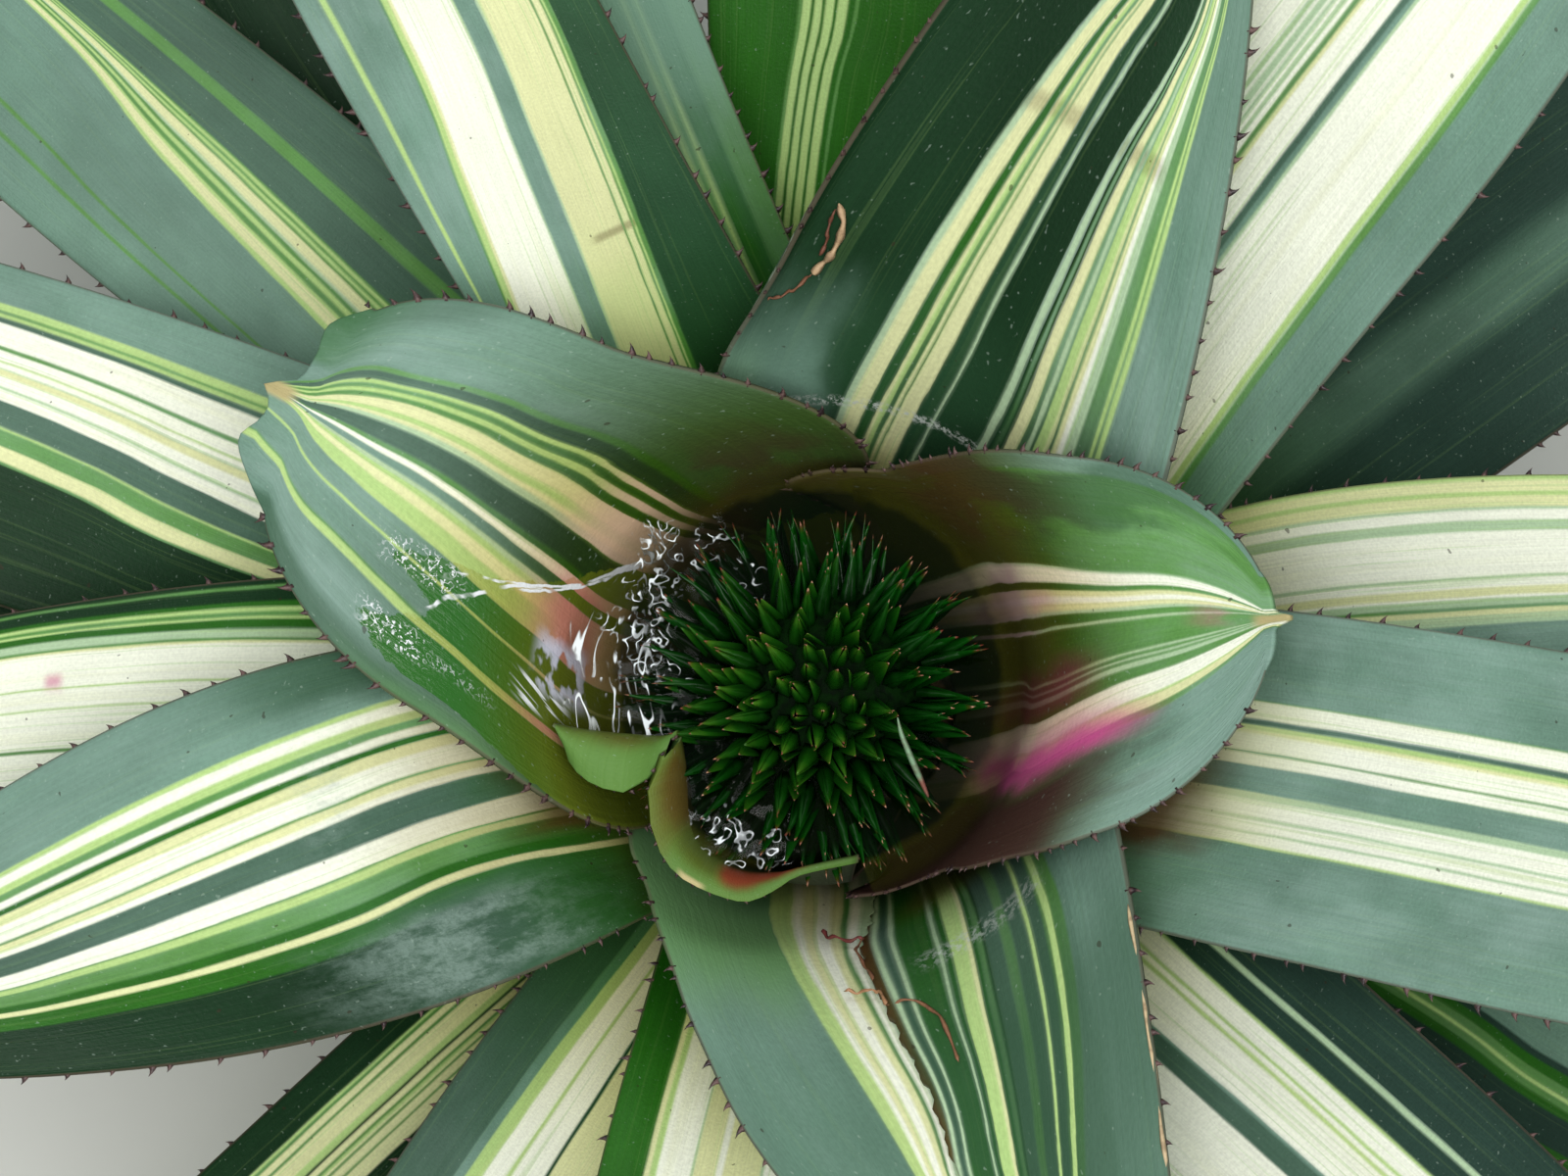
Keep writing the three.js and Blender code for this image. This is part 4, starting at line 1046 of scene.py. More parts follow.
def spindles(path, side, normal, breadth, above, below):
    """Closed four-sided forms. path runs along each to its tip, side and normal are unit vectors,
    and breadth, above and below are how far each ring reaches to its sides, up and down."""
    count, rings = breadth.shape
    body = path[:, :-1]
    reach = [side * breadth[..., None], normal * above[..., None],
             -side * breadth[..., None], -normal * below[..., None]]
    ring_points = np.stack([body + step for step in reach], 2).reshape(count, -1, 3)
    points = np.concatenate([ring_points, path[:, -1:]], 1)
    k = np.arange(4)
    ahead = (k + 1) % 4
    start = 4 * np.arange(rings - 1)[:, None]
    sides = np.stack([start + k, start + ahead, start + 4 + ahead, start + 4 + k], -1).reshape(-1, 4)
    last = 4 * (rings - 1)
    tips = np.stack([last + k, last + ahead, np.full(4, 4 * rings)], -1)
    first = (np.arange(count) * (4 * rings + 1))[:, None, None]
    foot = np.array([[3, 2, 1, 0]])
    groups = [(first + part).reshape(-1, part.shape[1]).tolist() for part in (sides, tips, foot)]
    return points.reshape(-1, 3), groups[0] + groups[1] + groups[2]


def spindle_maps(count, rings, value):
    """UV maps of spindles: the share of the length with a value of each, and a cell for each."""
    i, k = np.meshgrid(np.arange(rings - 1), np.arange(4), indexing="ij")
    around = lambda *corners: np.stack([np.stack([a / rings, b / 4], -1) for a, b in corners], -2)
    sides = around((i, k), (i, k + 1), (i + 1, k + 1), (i + 1, k)).reshape(-1, 2)
    k = np.arange(4)
    end = np.full(4, rings - 1)
    tips = around((end, k), (end, k + 1), (end + 1, k + 0.5)).reshape(-1, 2)
    foot = np.array([[0.0, 0.75], [0.0, 0.5], [0.0, 0.25], [0.0, 0.0]])
    across = math.ceil(math.sqrt(count))
    cell = np.stack([np.arange(count) % across, np.arange(count) // across], -1)
    length, bake = [], []
    for part in (sides, tips, foot):
        length.append(np.stack([np.tile(part[:, 0], count), np.repeat(value, len(part))], -1))
        bake.append(((0.08 + 0.84 * part)[None] + cell[:, None]).reshape(-1, 2) / across)
    return {"form": np.concatenate(length), "OFBake": np.concatenate(bake)}


# Marginal spines: small hooks that point towards the tip

HOOK_REACH = np.array([-0.25, 0.25, 0.62, 1.0])
HOOK_FORWARD = np.array([0.0, 0.06, 0.26, 0.62])
HOOK_BREADTH = np.array([0.62, 0.34, 0.16])
HOOK_SIZES = 0.6, 1.35
MARGIN_STEPS = 400
BRACT_TOOTHED = -0.97, 0.75


def margin_reach(leaf, s, v):
    """Distances along a margin of points at s and v."""
    margin = leaf_shape(leaf, s, v, 0.0)
    return np.concatenate([[0], np.cumsum(np.linalg.norm(np.diff(margin, axis=0), axis=1))])


def margin_places(leaf, random):
    """For each margin, where its spines stand along and across the leaf, and the steps from there
    to a point further on along the margin and to one further in."""
    spacing = leaf.get("teeth", 5.6)
    if "opens" in leaf:
        run = np.linspace(*BRACT_TOOTHED, MARGIN_STEPS)
        reach = margin_reach(leaf, np.full(MARGIN_STEPS, leaf["length"]), run)
        v = np.interp(np.arange(0, reach[-1], spacing), reach, run)
        yield np.full(len(v), leaf["length"]), v, (0, 0.02), (-1.5, 0)
        return
    run = np.linspace(20, leaf["length"] * 0.975, MARGIN_STEPS)
    for side in (-1.0, 1.0):
        reach = margin_reach(leaf, run, np.full(MARGIN_STEPS, side))
        at = np.arange(0, reach[-1], spacing)
        s = np.interp(at + random.uniform(-0.35, 0.35, len(at)) * spacing, reach, run)
        yield s, np.full(len(s), side), (0.5, 0), (0, -0.04 * side)


def make_spines(random):
    base, outward, along, length = [], [], [], []
    for leaf in LEAVES:
        for s, v, onward, inward in margin_places(leaf, random):
            here, ahead, inside = (lean(leaf_shape(leaf, s + more_s, v + more_v, 0.0))
                                   for more_s, more_v in ((0, 0), onward, inward))
            direction = unit(ahead - here)
            out = here - inside
            outward.append(unit(out - direction * np.sum(out * direction, 1, keepdims=True)))
            base.append(here)
            along.append(direction)
            length.append(leaf.get("tooth", 1.0) * random.uniform(*HOOK_SIZES, len(s)))
    base, outward, along, length = (np.concatenate(part) for part in (base, outward, along, length))
    path = base[:, None] + length[:, None, None] * (
        HOOK_REACH[None, :, None] * outward[:, None] + HOOK_FORWARD[None, :, None] * along[:, None])
    breadth = np.sqrt(length)[:, None] * HOOK_BREADTH
    normal = np.cross(outward, along)
    points, faces = spindles(path, along[:, None], normal[:, None], breadth, breadth * 0.6, breadth * 0.6)
    maps = spindle_maps(len(base), len(HOOK_BREADTH), np.zeros(len(base)))
    piece = mesh_piece("marginal_spines", points, faces, spine_material(), maps)


def spine_material():
    shader = Shader("spine_horn")
    grain = shader.noise(shader.place(), 900.0, 3.0)
    colour = shader.between(shader.step(grain, 0.35, 0.65), (44, 30, 34), (104, 78, 74))
    return shader.finish(colour, shader.step(grain, 0.3, 0.7, 0.35, 0.6), shader.bump(grain, 0.0001))


make_spines(np.random.default_rng(11))


# Dry threads along the tear, the dried curl of a margin, and the needle caught in the flower head

THREAD_RINGS = 26
# A leaf, half the thickness, the tint from 0 crimson to 1 cream, the height off the leaf, then
# points along and across it
THREADS = [
    ("torn_leaf", 0.42, 0.05, 1.6, [(35.5, -0.32), (38.2, -0.29), (39.9, -0.235), (41, -0.172),
                                    (40.5, -0.15)]),
    ("torn_leaf", 0.3, 0.4, 1.5, [(41, -0.15), (44, -0.18), (49, -0.155), (53, -0.135), (57, -0.125)]),
    ("torn_leaf", 0.36, 0.6, 1.8, [(55.4, -0.25), (55.9, -0.215), (56.5, -0.16), (57, -0.125),
                                   (60.4, -0.114)]),
    ("torn_leaf", 0.32, 0.46, 1.9, [(60.4, -0.114), (60.4, -0.068), (61.5, 0), (65.3, 0.06), (68.6, 0.07),
                                  (73.6, 0.07)]),
    ("torn_leaf", 0.34, 0.95, 0.3, [(70, 0.985), (78, 0.985), (86, 0.985), (94, 0.985), (101, 0.985)]),
    ("leaf_04", 0.6, 0.8, 1.2, [(76.2, 0.83), (73.6, 0.76), (70.3, 0.74), (68.3, 0.75), (66.4, 0.78)]),
    ("leaf_04", 0.3, 0.4, 1.0, [(66.4, 0.78), (64.4, 0.81), (63.1, 0.86), (63.1, 0.95)]),
    ("leaf_04", 0.3, 0.3, 1.6, [(75.6, 0.83), (73.6, 0.82), (71, 0.79), (69, 0.79)]),
]
NEEDLE_HALF, NEEDLE_TINT = 0.42, 1.4
NEEDLE = [(-3.7, -13.2, 103.5), (-3.1, -15.5, 103), (-1.5, -19, 101), (-0.6, -20.7, 99.5), (0.4, -22.6, 97.5)]


def make_threads():
    """The dry threads, which follow their leaves, and the needle, as one piece."""
    paths, normals, thick, tints = [], [], [], []
    at = np.linspace(0, 1, THREAD_RINGS + 1)
    for name, half, tint, lift, places in THREADS:
        leaf = next(one for one in LEAVES if one["name"] == name)
        places = np.array(places, float)
        knots = np.linspace(0, 1, len(places))
        s, v = (curve_through(at, knots, column) for column in places.T)
        s = s + 0.12 * np.sin(at * 31 + tint * 9)
        wavy = lift + 0.25 * np.sin(at * 17 + tint * 20)
        here, above = (lean(leaf_shape(leaf, s, v, wavy + more)) for more in (0.0, 1.0))
        paths.append(here)
        normals.append(unit(above - here))
        thick.append(half * (0.75 + 0.25 * np.sin(at[:-1] * 23 + tint * 7)) * ease(at[:-1] * 8 + 0.3))
        tints.append(tint)
    needle = np.array(NEEDLE)
    knots = np.linspace(0, 1, len(needle))
    paths.append(np.stack([curve_through(at, knots, column) for column in needle.T], -1))
    normals.append(np.tile([0.0, 0.0, 1.0], (THREAD_RINGS + 1, 1)))
    thick.append(NEEDLE_HALF * np.sin(math.pi * (0.08 + 0.8 * at[:-1])))
    tints.append(NEEDLE_TINT)
    paths, normals, thick = np.array(paths), np.array(normals), np.array(thick)
    forward = unit(np.gradient(paths, axis=1))
    side = unit(np.cross(normals, forward))[:, :-1]
    up = np.cross(forward[:, :-1], side)
    points, faces = spindles(paths, side, up, thick, thick * 0.8, thick * 0.6)
    maps = spindle_maps(len(paths), THREAD_RINGS, np.array(tints))
    piece = mesh_piece("dry_threads", points, faces, thread_material(), maps)


def thread_material():
    shader = Shader("dry_thread")
    along, tint = shader.uv("form")
    grain = shader.noise(shader.place(), 700.0, 3.0)
    colour = shader.ramp(tint * 0.7, [(0.0, (110, 34, 44)), (0.25, (122, 76, 56)),
                                                 (0.42, (176, 128, 92)), (0.68, (214, 190, 150))])
    needle = shader.between(shader.step(along, 0.62, 0.78), (130, 164, 130), (150, 96, 84))
    colour = shader.mix(shader.math("GREATER_THAN", tint, 1.2), colour, needle)
    colour = shader.paint(colour, shader.step(grain, 0.4, 0.7) * 0.5, (96, 62, 44))
    return shader.finish(colour, shader.step(grain, 0.2, 0.8, 0.5, 0.7), shader.bump(grain, 0.0002))


make_threads()


# Flower head: a dome of florets, each with three pointed sepals and the bract below them

FLORETS, SEPALS = 140, 3
LOWEST_FLORET = 88
SHOWN_RADIUS, SHOWN_RISE = 15.8, 9.5
HEAD_SHIFT = (-1.5, -1.4, 0.0)
SEPAL_LENGTH, FLORAL_BRACT_LENGTH = 11.2, 10.2
SEPAL_SPLAY, BRACT_SPLAY = (-0.085, -0.02), (0.0, 0.26)
BRACT_SHARES = np.array([0, 0.22, 0.46, 0.7, 0.9, 1.0])
BRACT_BREADTH = np.array([1.0, 0.94, 0.7, 0.42, 0.16])


def dome_points(polar, turn, sunk=0.0):
    """Points of the dome, and the directions straight out of it there."""
    flat = np.stack([np.cos(turn), np.sin(turn), 0 * turn], -1)
    up = np.array([0, 0, 1.0])
    radius, rise = SHOWN_RADIUS - sunk, SHOWN_RISE - sunk
    place = flat * (radius * np.sin(polar))[:, None] + up * (DOME_HEIGHT + rise * np.cos(polar))[:, None]
    aim = 0.82 * polar
    return place, flat * np.sin(aim)[:, None] + up * np.cos(aim)[:, None], flat


def make_bracts(random):
    """The florets on a spiral up the dome, each with its sepals round it and its bract below."""
    index = np.arange(FLORETS)
    share = (index + 0.5) / FLORETS
    polar = math.radians(LOWEST_FLORET) * share ** 0.54 + random.normal(0, 0.03, FLORETS)
    turn = index * GOLDEN_ANGLE + random.normal(0, 0.05, FLORETS)
    place, out, flat = dome_points(polar, turn, 1.0)
    out = unit(out + random.normal(0, 0.1, out.shape))
    across = unit(np.cross(np.array([0, 0, 1.0]), flat))
    down = unit(np.cross(across, out))
    base, direction, inner, length, breadth = [], [], [], [], []
    size = 0.62 + 0.38 * ease(share * 1.6)
    for member in range(SEPALS + 1):
        bract = member == SEPALS
        spin = random.uniform(-0.3, 0.3, FLORETS)
        if not bract:
            spin = spin + (math.radians(360 / SEPALS) * member + 2.1 * index)
        aside = down * np.cos(spin)[:, None] + across * np.sin(spin)[:, None]
        splay = random.uniform(*(BRACT_SPLAY if bract else SEPAL_SPLAY), FLORETS)
        base.append(place + aside * (1.5 if bract else 0.7) - out * 0.8)
        direction.append(unit(out + aside * splay[:, None]))
        inner.append(unit(-aside + out * splay[:, None]))
        full_length, full_breadth = (FLORAL_BRACT_LENGTH, 1.7) if bract else (SEPAL_LENGTH, 1.4)
        length.append(full_length * size * random.uniform(0.8, 1.12, FLORETS))
        breadth.append(full_breadth * (1.0 - 0.1 * share) * random.uniform(0.85, 1.1, FLORETS))
    base, direction, inner = (np.concatenate(part) for part in (base, direction, inner))
    length, breadth = np.concatenate(length), np.concatenate(breadth)
    along = length[:, None] * BRACT_SHARES
    curl = 0.006 * along ** 2
    path = base[:, None] + direction[:, None] * along[..., None] + inner[:, None] * curl[..., None]
    side = unit(np.cross(inner, direction))[:, None]
    wide = breadth[:, None] * BRACT_BREADTH
    points, faces = spindles(path, side, inner[:, None], wide, -0.12 * wide, 0.55 * wide)
    maps = spindle_maps(len(length), len(BRACT_BREADTH), np.tile(share, SEPALS + 1))
    piece = mesh_piece("flower_bracts", lean(points + HEAD_SHIFT), faces, bract_material(), maps)
    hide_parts("flower_head")


def bract_material():
    shader = Shader("bract_green")
    along, share = shader.uv("form")
    place = shader.place()
    grain = shader.noise(place, 420.0, 3.0)
    patchy = shader.noise(place, 90.0, 2.0)
    fleck = shader.noise(place, 330.0, 1.0)
    # Each bract darkens to nearly black at its foot: partly its own colour, partly painted shade among the
    # crowded florets. The florets at the top of the dome are lighter, in patches.
    green = shader.ramp(along, [(0.0, (0, 12, 0)), (0.4, (2, 40, 2)), (0.8, (8, 72, 8))])
    top_green = shader.ramp(along, [(0.0, (8, 44, 4)), (0.5, (30, 88, 12)), (0.85, (84, 132, 34))])
    centre = shader.step(share, 0.45, 0.05) * shader.step(patchy, 0.35, 0.65, 0.3, 1.0)
    colour = shader.mix(centre, green, top_green)
    colour = shader.paint(colour, shader.step(grain, 0.45, 0.7) * 0.35, (14, 66, 10))
    browned = shader.step(fleck, 0.46, 0.58) * shader.step(along, 0.72, 0.88)
    colour = shader.paint(colour, browned * 0.8, (96, 50, 26))
    tips = shader.between(shader.step(patchy, 0.35, 0.6), (204, 150, 122), (124, 56, 40))
    at_tip = shader.step(along, 0.86, 0.92) * shader.step(fleck, 0.36, 0.42)
    colour = shader.mix(at_tip, colour, tips)
    return shader.finish(colour, shader.step(grain, 0.2, 0.8, 0.22, 0.4), shader.bump(grain, 0.0001), 0.3)


# Surfaces of revolution: the dome on its stalk, and the stem

def ring_faces(rings, sides):
    """Quads between rings of points."""
    i, j = np.meshgrid(np.arange(rings - 1), np.arange(sides), indexing="ij")
    ahead = (j + 1) % sides
    quads = np.stack([i * sides + j, i * sides + ahead, (i + 1) * sides + ahead, (i + 1) * sides + j], -1)
    return quads.reshape(-1, 4).tolist()


def lathe(profile, sides):
    """A closed surface of revolution from (radius, height), with its UV maps."""
    profile = np.array(profile, float)
    rings = len(profile)
    turn = np.linspace(0, 2 * math.pi, sides, endpoint=False)
    points = np.stack([profile[:, :1] * np.cos(turn), profile[:, :1] * np.sin(turn),
                       np.repeat(profile[:, 1:], sides, 1)], -1).reshape(-1, 3)
    i, j = np.meshgrid(np.arange(rings - 1), np.arange(sides), indexing="ij")
    rise = np.concatenate([[0], np.cumsum(np.hypot(*np.diff(profile, axis=0).T))])
    rise = rise / rise[-1]
    corners = [(j, i), (j + 1, i), (j + 1, i + 1), (j, i + 1)]
    side_map = [np.stack([a / sides * 0.98 + 0.01, rise[b] * 0.74 + 0.01], -1) for a, b in corners]
    disc = np.stack([0.11 + 0.1 * np.cos(turn), 0.88 + 0.1 * np.sin(turn)], -1)
    foot, crown = list(range(sides))[::-1], list(range((rings - 1) * sides, rings * sides))
    faces = ring_faces(rings, sides) + [foot, crown]
    bake = np.concatenate([np.stack(side_map, -2).reshape(-1, 2), disc[::-1], disc + [0.3, 0]])
    return points, faces, {"OFBake": bake}


def make_dome():
    """The dome under the florets, on its stalk."""
    profile = [(STALK_RADIUS, HEAD_FOOT), (STALK_RADIUS, STALK_TOP), (SHOWN_RADIUS * 0.72, DOME_UNDER)]
    for angle in range(-26, 90, 6):
        a = math.radians(angle)
        profile.append(((SHOWN_RADIUS - 1) * math.cos(a), DOME_HEIGHT + (SHOWN_RISE - 1) * math.sin(a)))
    points, faces, maps = lathe(profile, 72)
    piece = mesh_piece("flower_dome", lean(points), faces, dome_material(), maps)
    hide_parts("flower_head")


def dome_material():
    shader = Shader("shaded_dome_tissue")
    grain = shader.noise(shader.place(), 700.0, 4.0)
    # Nearly black: the dome's dark green painted darker as painted shade, for the gaps between the florets.
    colour = shader.between(shader.step(grain, 0.35, 0.65), (0, 12, 0), (4, 30, 2))
    return shader.finish(colour, shader.step(grain, 0.2, 0.8, 0.6, 0.8), shader.bump(grain, 0.0003), 0.05)


make_bracts(np.random.default_rng(5))
make_dome()

STEM_SIDES = 96
SCAR_DEPTH = 0.3


def make_stem():
    """The short stem, ringed by the scars of the leaves, with its foot cut level with the ground."""
    heights = np.concatenate([[0.0], np.arange(4, STEM_HIGH, 0.7), [STEM_HIGH]])
    scars = 0.28 * np.abs(np.sin(heights * 1.9)) ** 0.5 * ease(heights / 6) * ease((STEM_HIGH - heights) / 4)
    foot_radii = [STEM_FOOT_RADIUS + 0.1, STEM_FOOT_RADIUS, stem_radius(STEM_LOW)]
    low_radius = np.interp(heights, [0, 4, STEM_LOW], foot_radii)
    radius = np.where(heights < STEM_LOW, low_radius, stem_radius(heights))
    profile = np.stack([radius - SCAR_DEPTH + scars, heights], -1)
    crown = [[STEM_RADIUS_HIGH - 0.6, STEM_HIGH + 0.5]]
    points, faces, maps = lathe(np.concatenate([profile, crown]), STEM_SIDES)
    towards = math.radians(LEAN_TOWARDS)
    foot = points[:STEM_SIDES]
    outward = foot[:, 0] * math.cos(towards) + foot[:, 1] * math.sin(towards)
    foot[:, 2] = math.tan(math.radians(LEAN)) * outward
    piece = mesh_piece("stem_with_scars", lean(points), faces, bark_material(), maps)
    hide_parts("stem")


def bark_material():
    shader = Shader("stem_bark")
    place = shader.place()
    stretched = shader.value("ShaderNodeMapping", {"Vector": place, "Scale": (1.0, 1.0, 0.15)})
    fibres = shader.noise(stretched, 600.0, 5.0)
    blotch = shader.noise(place, 60.0, 3.0)
    colour = shader.between(shader.step(fibres, 0.35, 0.65), (70, 52, 36), (142, 118, 84))
    colour = shader.paint(colour, shader.step(blotch, 0.4, 0.7) * 0.6, (52, 58, 34))
    return shader.finish(colour, shader.step(fibres, 0.2, 0.8, 0.6, 0.85), shader.bump(fibres, 0.0005))


make_stem()


# Pool: level water that reaches the leaves of the cup, with ripples where it is stirred

POOL_SIDES, POOL_RINGS, POOL_WALL_RINGS = 300, 73, 5
POOL_FLOOR = 78.0
WIDEST_POOL, INTO_WALL = 60.0, 0.35
# Directions in degrees between which a leaf further out makes the wall, and which leaf. It takes
# over from the innermost leaf at a height, by degrees over some millimetres
POOL_SECTORS = [(-77, 75, 1), (78, 199, 2)]
OUTER_WALL_FROM, OUTER_WALL_OVER = 74.0, 11.0
# Where the inner bract holds the water in: directions in degrees, and the pool's reach there
BRACT_HOLDS = ([236, 240, 252, 262, 272, 284, 290], [60, 27, 25.8, 23.8, 22.6, 22.2, 60])
# How strongly the water ripples: where it is still, then centre, half widths and strength where it
# is stirred
STILL = 0.03
STIRRED = [((-38.5, 1.0), (9.0, 17.0), 0.4), ((-26.0, -25.5), (9.0, 6.0), 0.3)]
# Where stirred water mirrors the sky: from, to in x and y, and whether its lines run round the head
LIT_WATER = [(-39.0, -27.0, 8.0, 15.5, False), (-40.5, -31.5, -5.0, 8.0, False),
             (-47.0, -35.5, -15.0, 1.5, True), (-30.0, -19.0, -31.5, -24.5, False),
             (-24.0, -21.5, 4.0, 11.0, False)]
DEEP_SHIFT = -0.7, 1.0
WATER_IOR = 1.33


def wall_radius(turn, height):
    """How far out of the rosette's axis the cup's wall stands, by direction and height."""
    reaches = []
    for leaf in LEAVES[:3]:
        _, r, z, _ = leaf["path"]
        reaches.append(np.interp(height, z[:70], r[:70]) - 0.5 * SHEATH_THICKNESS + INTO_WALL)
    radius = inner = reaches[0]
    above = ease((height - OUTER_WALL_FROM) / OUTER_WALL_OVER)
    for start, stop, order in POOL_SECTORS:
        inside = ease(np.minimum(turn - start, stop - turn) / 3.0) * above
        radius = np.maximum(radius, inner + (reaches[order] - inner) * inside)
    return radius


def pool_edge(level):
    """The centre of the pool at a level, and its reach in each direction from there."""
    centre = lean(np.array([0, 0, level]))
    centre[2] = level
    turn = np.linspace(0, 2 * math.pi, POOL_SIDES, endpoint=False)
    direction = np.stack([np.cos(turn), np.sin(turn), 0 * turn], -1)
    near, far = np.zeros(POOL_SIDES), np.full(POOL_SIDES, WIDEST_POOL)
    for _ in range(30):
        middle = (near + far) / 2
        place = upright(centre + direction * middle[:, None])
        azimuth = (np.degrees(np.arctan2(place[:, 1], place[:, 0])) + 90) % 360 - 90
        inside = np.hypot(place[:, 0], place[:, 1]) < wall_radius(azimuth, place[:, 2])
        near, far = np.where(inside, middle, near), np.where(inside, far, middle)
    return centre, direction, np.minimum(near, np.interp(np.degrees(turn), *BRACT_HOLDS))


def ripples(x, y, random):
    """Heights of short crossing waves, higher where the water is stirred."""
    height = np.zeros_like(x)
    bend_x, bend_y = x + 0.9 * np.sin(y / 1.9), y + 0.9 * np.sin(x / 2.3 + 1)
    for _ in range(16):
        turn, wavelength = random.uniform(0, 2 * math.pi), random.uniform(2.0, 5.5)
        phase = random.uniform(0, 2 * math.pi)
        run = bend_x * math.cos(turn) + bend_y * math.sin(turn)
        height += wavelength * 0.02 * np.sin(run * 2 * math.pi / wavelength + phase)
    strength = STILL
    for (cx, cy), (wide, high), amount in STIRRED:
        strength = strength + amount * np.exp(-((x - cx) / wide) ** 2 - ((y - cy) / high) ** 2)
    return height * np.minimum(strength, 1.0)


def pool_maps(share):
    """UV maps of the pool: how far in from its rim a point lies, and one without overlaps."""
    walls, count = POOL_WALL_RINGS, POOL_WALL_RINGS + len(share)
    depth = np.concatenate([np.ones(walls), share])
    turn = np.arange(POOL_SIDES + 1) / POOL_SIDES * 2 * math.pi

    def corner(ring, step):
        ring = ring + 0 * step
        radius = 0.5 * np.where(ring < walls, (ring + 1) / (walls + 1), depth[ring])
        centre = np.where(ring < walls, 1.5, 0.5)
        return np.stack([(centre + radius * np.cos(turn[step])) / 2, 0.5 + radius * np.sin(turn[step])], -1)

    i, j = np.meshgrid(np.arange(count - 1), np.arange(POOL_SIDES), indexing="ij")
    shown = np.where(i == walls - 1, walls, i)
    bake = np.stack([corner(shown, j), corner(shown, j + 1), corner(i + 1, j + 1), corner(i + 1, j)], -2)
    inward = np.stack([np.stack([1 - depth[ring], 0 * ring], -1) for ring in (i, i, i + 1, i + 1)], -2)
    j = np.arange(POOL_SIDES)
    hub_bake = [corner(count - 1, j), corner(count - 1, j + 1), np.tile([0.25, 0.5], (POOL_SIDES, 1))]
    floor_bake = [corner(0, j + 1), corner(0, j), np.tile([0.75, 0.5], (POOL_SIDES, 1))]
    caps = np.concatenate([np.stack(hub_bake, -2), np.stack(floor_bake, -2)])
    cap_inward = np.repeat([[1.0, 0.0], [0.0, 0.0]], 3 * POOL_SIDES, 0)
    return {"pool": np.concatenate([inward.reshape(-1, 2), cap_inward]),
            "OFBake": np.concatenate([bake.reshape(-1, 2), caps.reshape(-1, 2)])}


def make_pool(random):
    """The water: its rippled top, its walls against the leaves and its floor."""
    centre, direction, reach = pool_edge(WATER_LEVEL)
    share = np.linspace(1.0, 0.0, POOL_RINGS + 1)[:-1]
    top = centre + direction[None] * (share[:, None] * reach)[..., None]
    top[..., 2] += ripples(top[..., 0], top[..., 1], random) * ease((1 - share) / 0.04)[:, None]
    low_centre, direction, low_reach = pool_edge(POOL_FLOOR)
    levels = np.linspace(0, 1, POOL_WALL_RINGS + 1)[:-1, None, None]
    foot = low_centre + direction * low_reach[:, None]
    rings = np.concatenate([foot + (top[0] - foot) * levels, top])
    points = np.concatenate([rings.reshape(-1, 3), [centre], [low_centre]])
    hub, low_hub = len(points) - 2, len(points) - 1
    last = (len(rings) - 1) * POOL_SIDES
    turns = [(j, (j + 1) % POOL_SIDES) for j in range(POOL_SIDES)]
    caps = [[last + j, last + ahead, hub] for j, ahead in turns] + [[ahead, j, low_hub] for j, ahead in turns]
    faces = ring_faces(len(rings), POOL_SIDES) + caps
    piece = mesh_piece("pool_water", points, faces, water_material(), pool_maps(share))
    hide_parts("pooled_water")


def water_material():
    shader = Shader("pool_water")
    inward, _ = shader.uv("pool")
    place = shader.place()
    x, y = (part * (1 / MM) for part in shader.parts(place))
    head = lean(np.array([0, 0, WATER_LEVEL]))
    away_x = x - (float(head[0]) + DEEP_SHIFT[0])
    away_y = y - (float(head[1]) + DEEP_SHIFT[1])
    away = shader.math("SQRT", away_x * away_x + away_y * away_y)

    # Dark and nearly opaque round the head, partly the depth of the water and partly painted shade deep in
    # the cup among the florets; shallow and olive near the rim
    unrest = shader.noise(place, 300.0, 2.0)
    cloud = shader.noise(place, 80.0, 3.0)
    deep_shade = shader.step(away + unrest * 2.0, 27.4, 25.2)
    colour = shader.between(shader.step(cloud, 0.3, 0.7), (0, 8, 0), (6, 14, 2))
    colour = shader.mix(deep_shade, linear((66, 66, 14)), colour)
    cover = shader.step(inward, 0.0, 0.08) * (0.14 + deep_shade * 0.5)

    # Painted reflections of the sky: bright lines where the water is stirred
    lines = squiggles(shader, x * 0.36, y * 0.36, 3.0, 0.085)
    spin = shader.math("ARCTAN2", away_y, away_x)
    arcs = squiggles(shader, away * 0.34, spin * 2.2, 8.0)
    sway = shader.swing(shader.noise(place, 160.0, 2.0), 12.0)
    gleam = 0.0
    for *sides, curved in LIT_WATER:
        inside = shader.box(x + sway, y - sway, sides, 0.8, 0.8)
        gleam = shader.larger(gleam, inside * (arcs if curved else lines))
    colour = shader.paint(colour, gleam, (232, 238, 240))

    shader.surface.inputs["IOR"].default_value = WATER_IOR
    shader.put(shader.surface.inputs["Alpha"], shader.larger(cover, gleam))
    small = shader.bump(shader.noise(place, 900.0, 2.0), 0.00003)
    return shader.finish(colour, shader.step(cloud, 0.2, 0.8, 0.02, 0.05), small, 0.25)


make_pool(np.random.default_rng(3))


# Stage and light

FLOOR_HALF = 1.6
FLOOR_GREY, FLOOR_GREY_LIGHT = (214, 214, 208), (222, 222, 216)


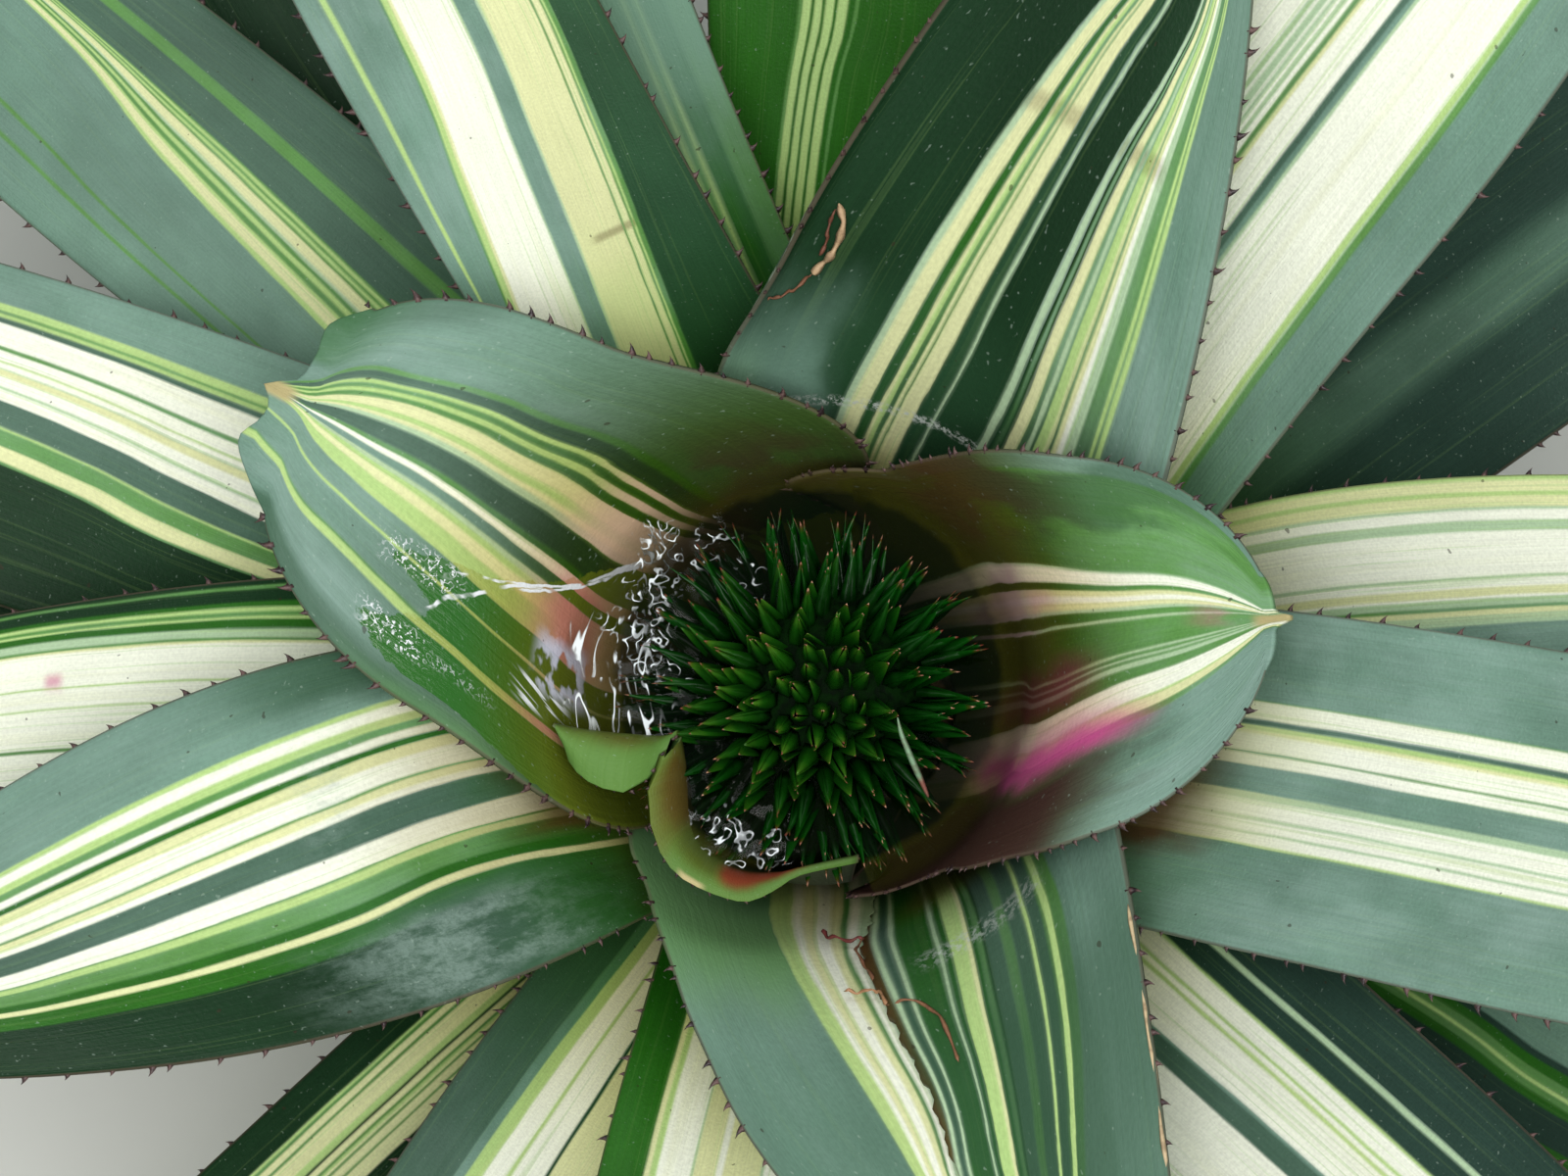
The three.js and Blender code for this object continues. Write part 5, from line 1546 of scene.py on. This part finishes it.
def floor_material():
    shader = Shader("floor_paint")
    grain = shader.noise(shader.place(), 40.0, 3.0)
    tint = shader.between(grain, FLOOR_GREY, FLOOR_GREY_LIGHT)
    return shader.finish(tint, shader.step(grain, 0.2, 0.8, 0.65, 0.75))


def make_stage():
    """A plain floor, in metres."""
    corners = [(x * FLOOR_HALF, y * FLOOR_HALF, 0) for x, y in ((-1, -1), (1, -1), (1, 1), (-1, 1))]
    mesh = bpy.data.meshes.new("floor")
    mesh.from_pydata(corners, [], [[0, 1, 2, 3]])
    mesh.materials.append(floor_material())
    floor = bpy.data.objects.new("floor", mesh)
    bpy.context.scene.collection.objects.link(floor)
    floor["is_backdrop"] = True


LIGHT_AIM = (0, 0, 0.09)


def soft_light(name, place, size, power, colour):
    """A square light that faces the rosette, in metres and watts."""
    data = bpy.data.lights.new(name, "AREA")
    data.shape, data.size, data.energy, data.color = "SQUARE", size, power, colour
    light = bpy.data.objects.new(name, data)
    bpy.context.scene.collection.objects.link(light)
    light.location = place
    aim = Vector(LIGHT_AIM) - Vector(place)
    light.rotation_euler = aim.to_track_quat("-Z", "Y").to_euler()


def make_lights():
    """A dim sky and four large soft lights."""
    world = bpy.data.worlds.new("studio")
    world.use_nodes = True
    sky = world.node_tree.nodes["Background"]
    sky.inputs["Color"].default_value = (0.9, 0.97, 1.0, 1)
    sky.inputs["Strength"].default_value = 0.25
    bpy.context.scene.world = world
    soft_light("top", (0.0, -0.34, 1.35), 0.8, 10.5, (1.0, 1.0, 0.99))
    soft_light("left", (-0.5, 0.0, 1.3), 0.8, 3.5, (1.0, 1.0, 0.99))
    soft_light("right", (0.65, -0.65, 1.0), 0.9, 4.0, (1.0, 1.0, 0.99))
    soft_light("back", (0.0, 0.95, 1.0), 0.9, 2.5, (0.97, 1.0, 1.0))


make_stage()
make_lights()
bpy.context.scene.view_settings.view_transform = "Standard"

boxes = {"cad": cad_box, "visual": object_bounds()}
{name: [list(corner) for corner in box] for name, box in boxes.items()}
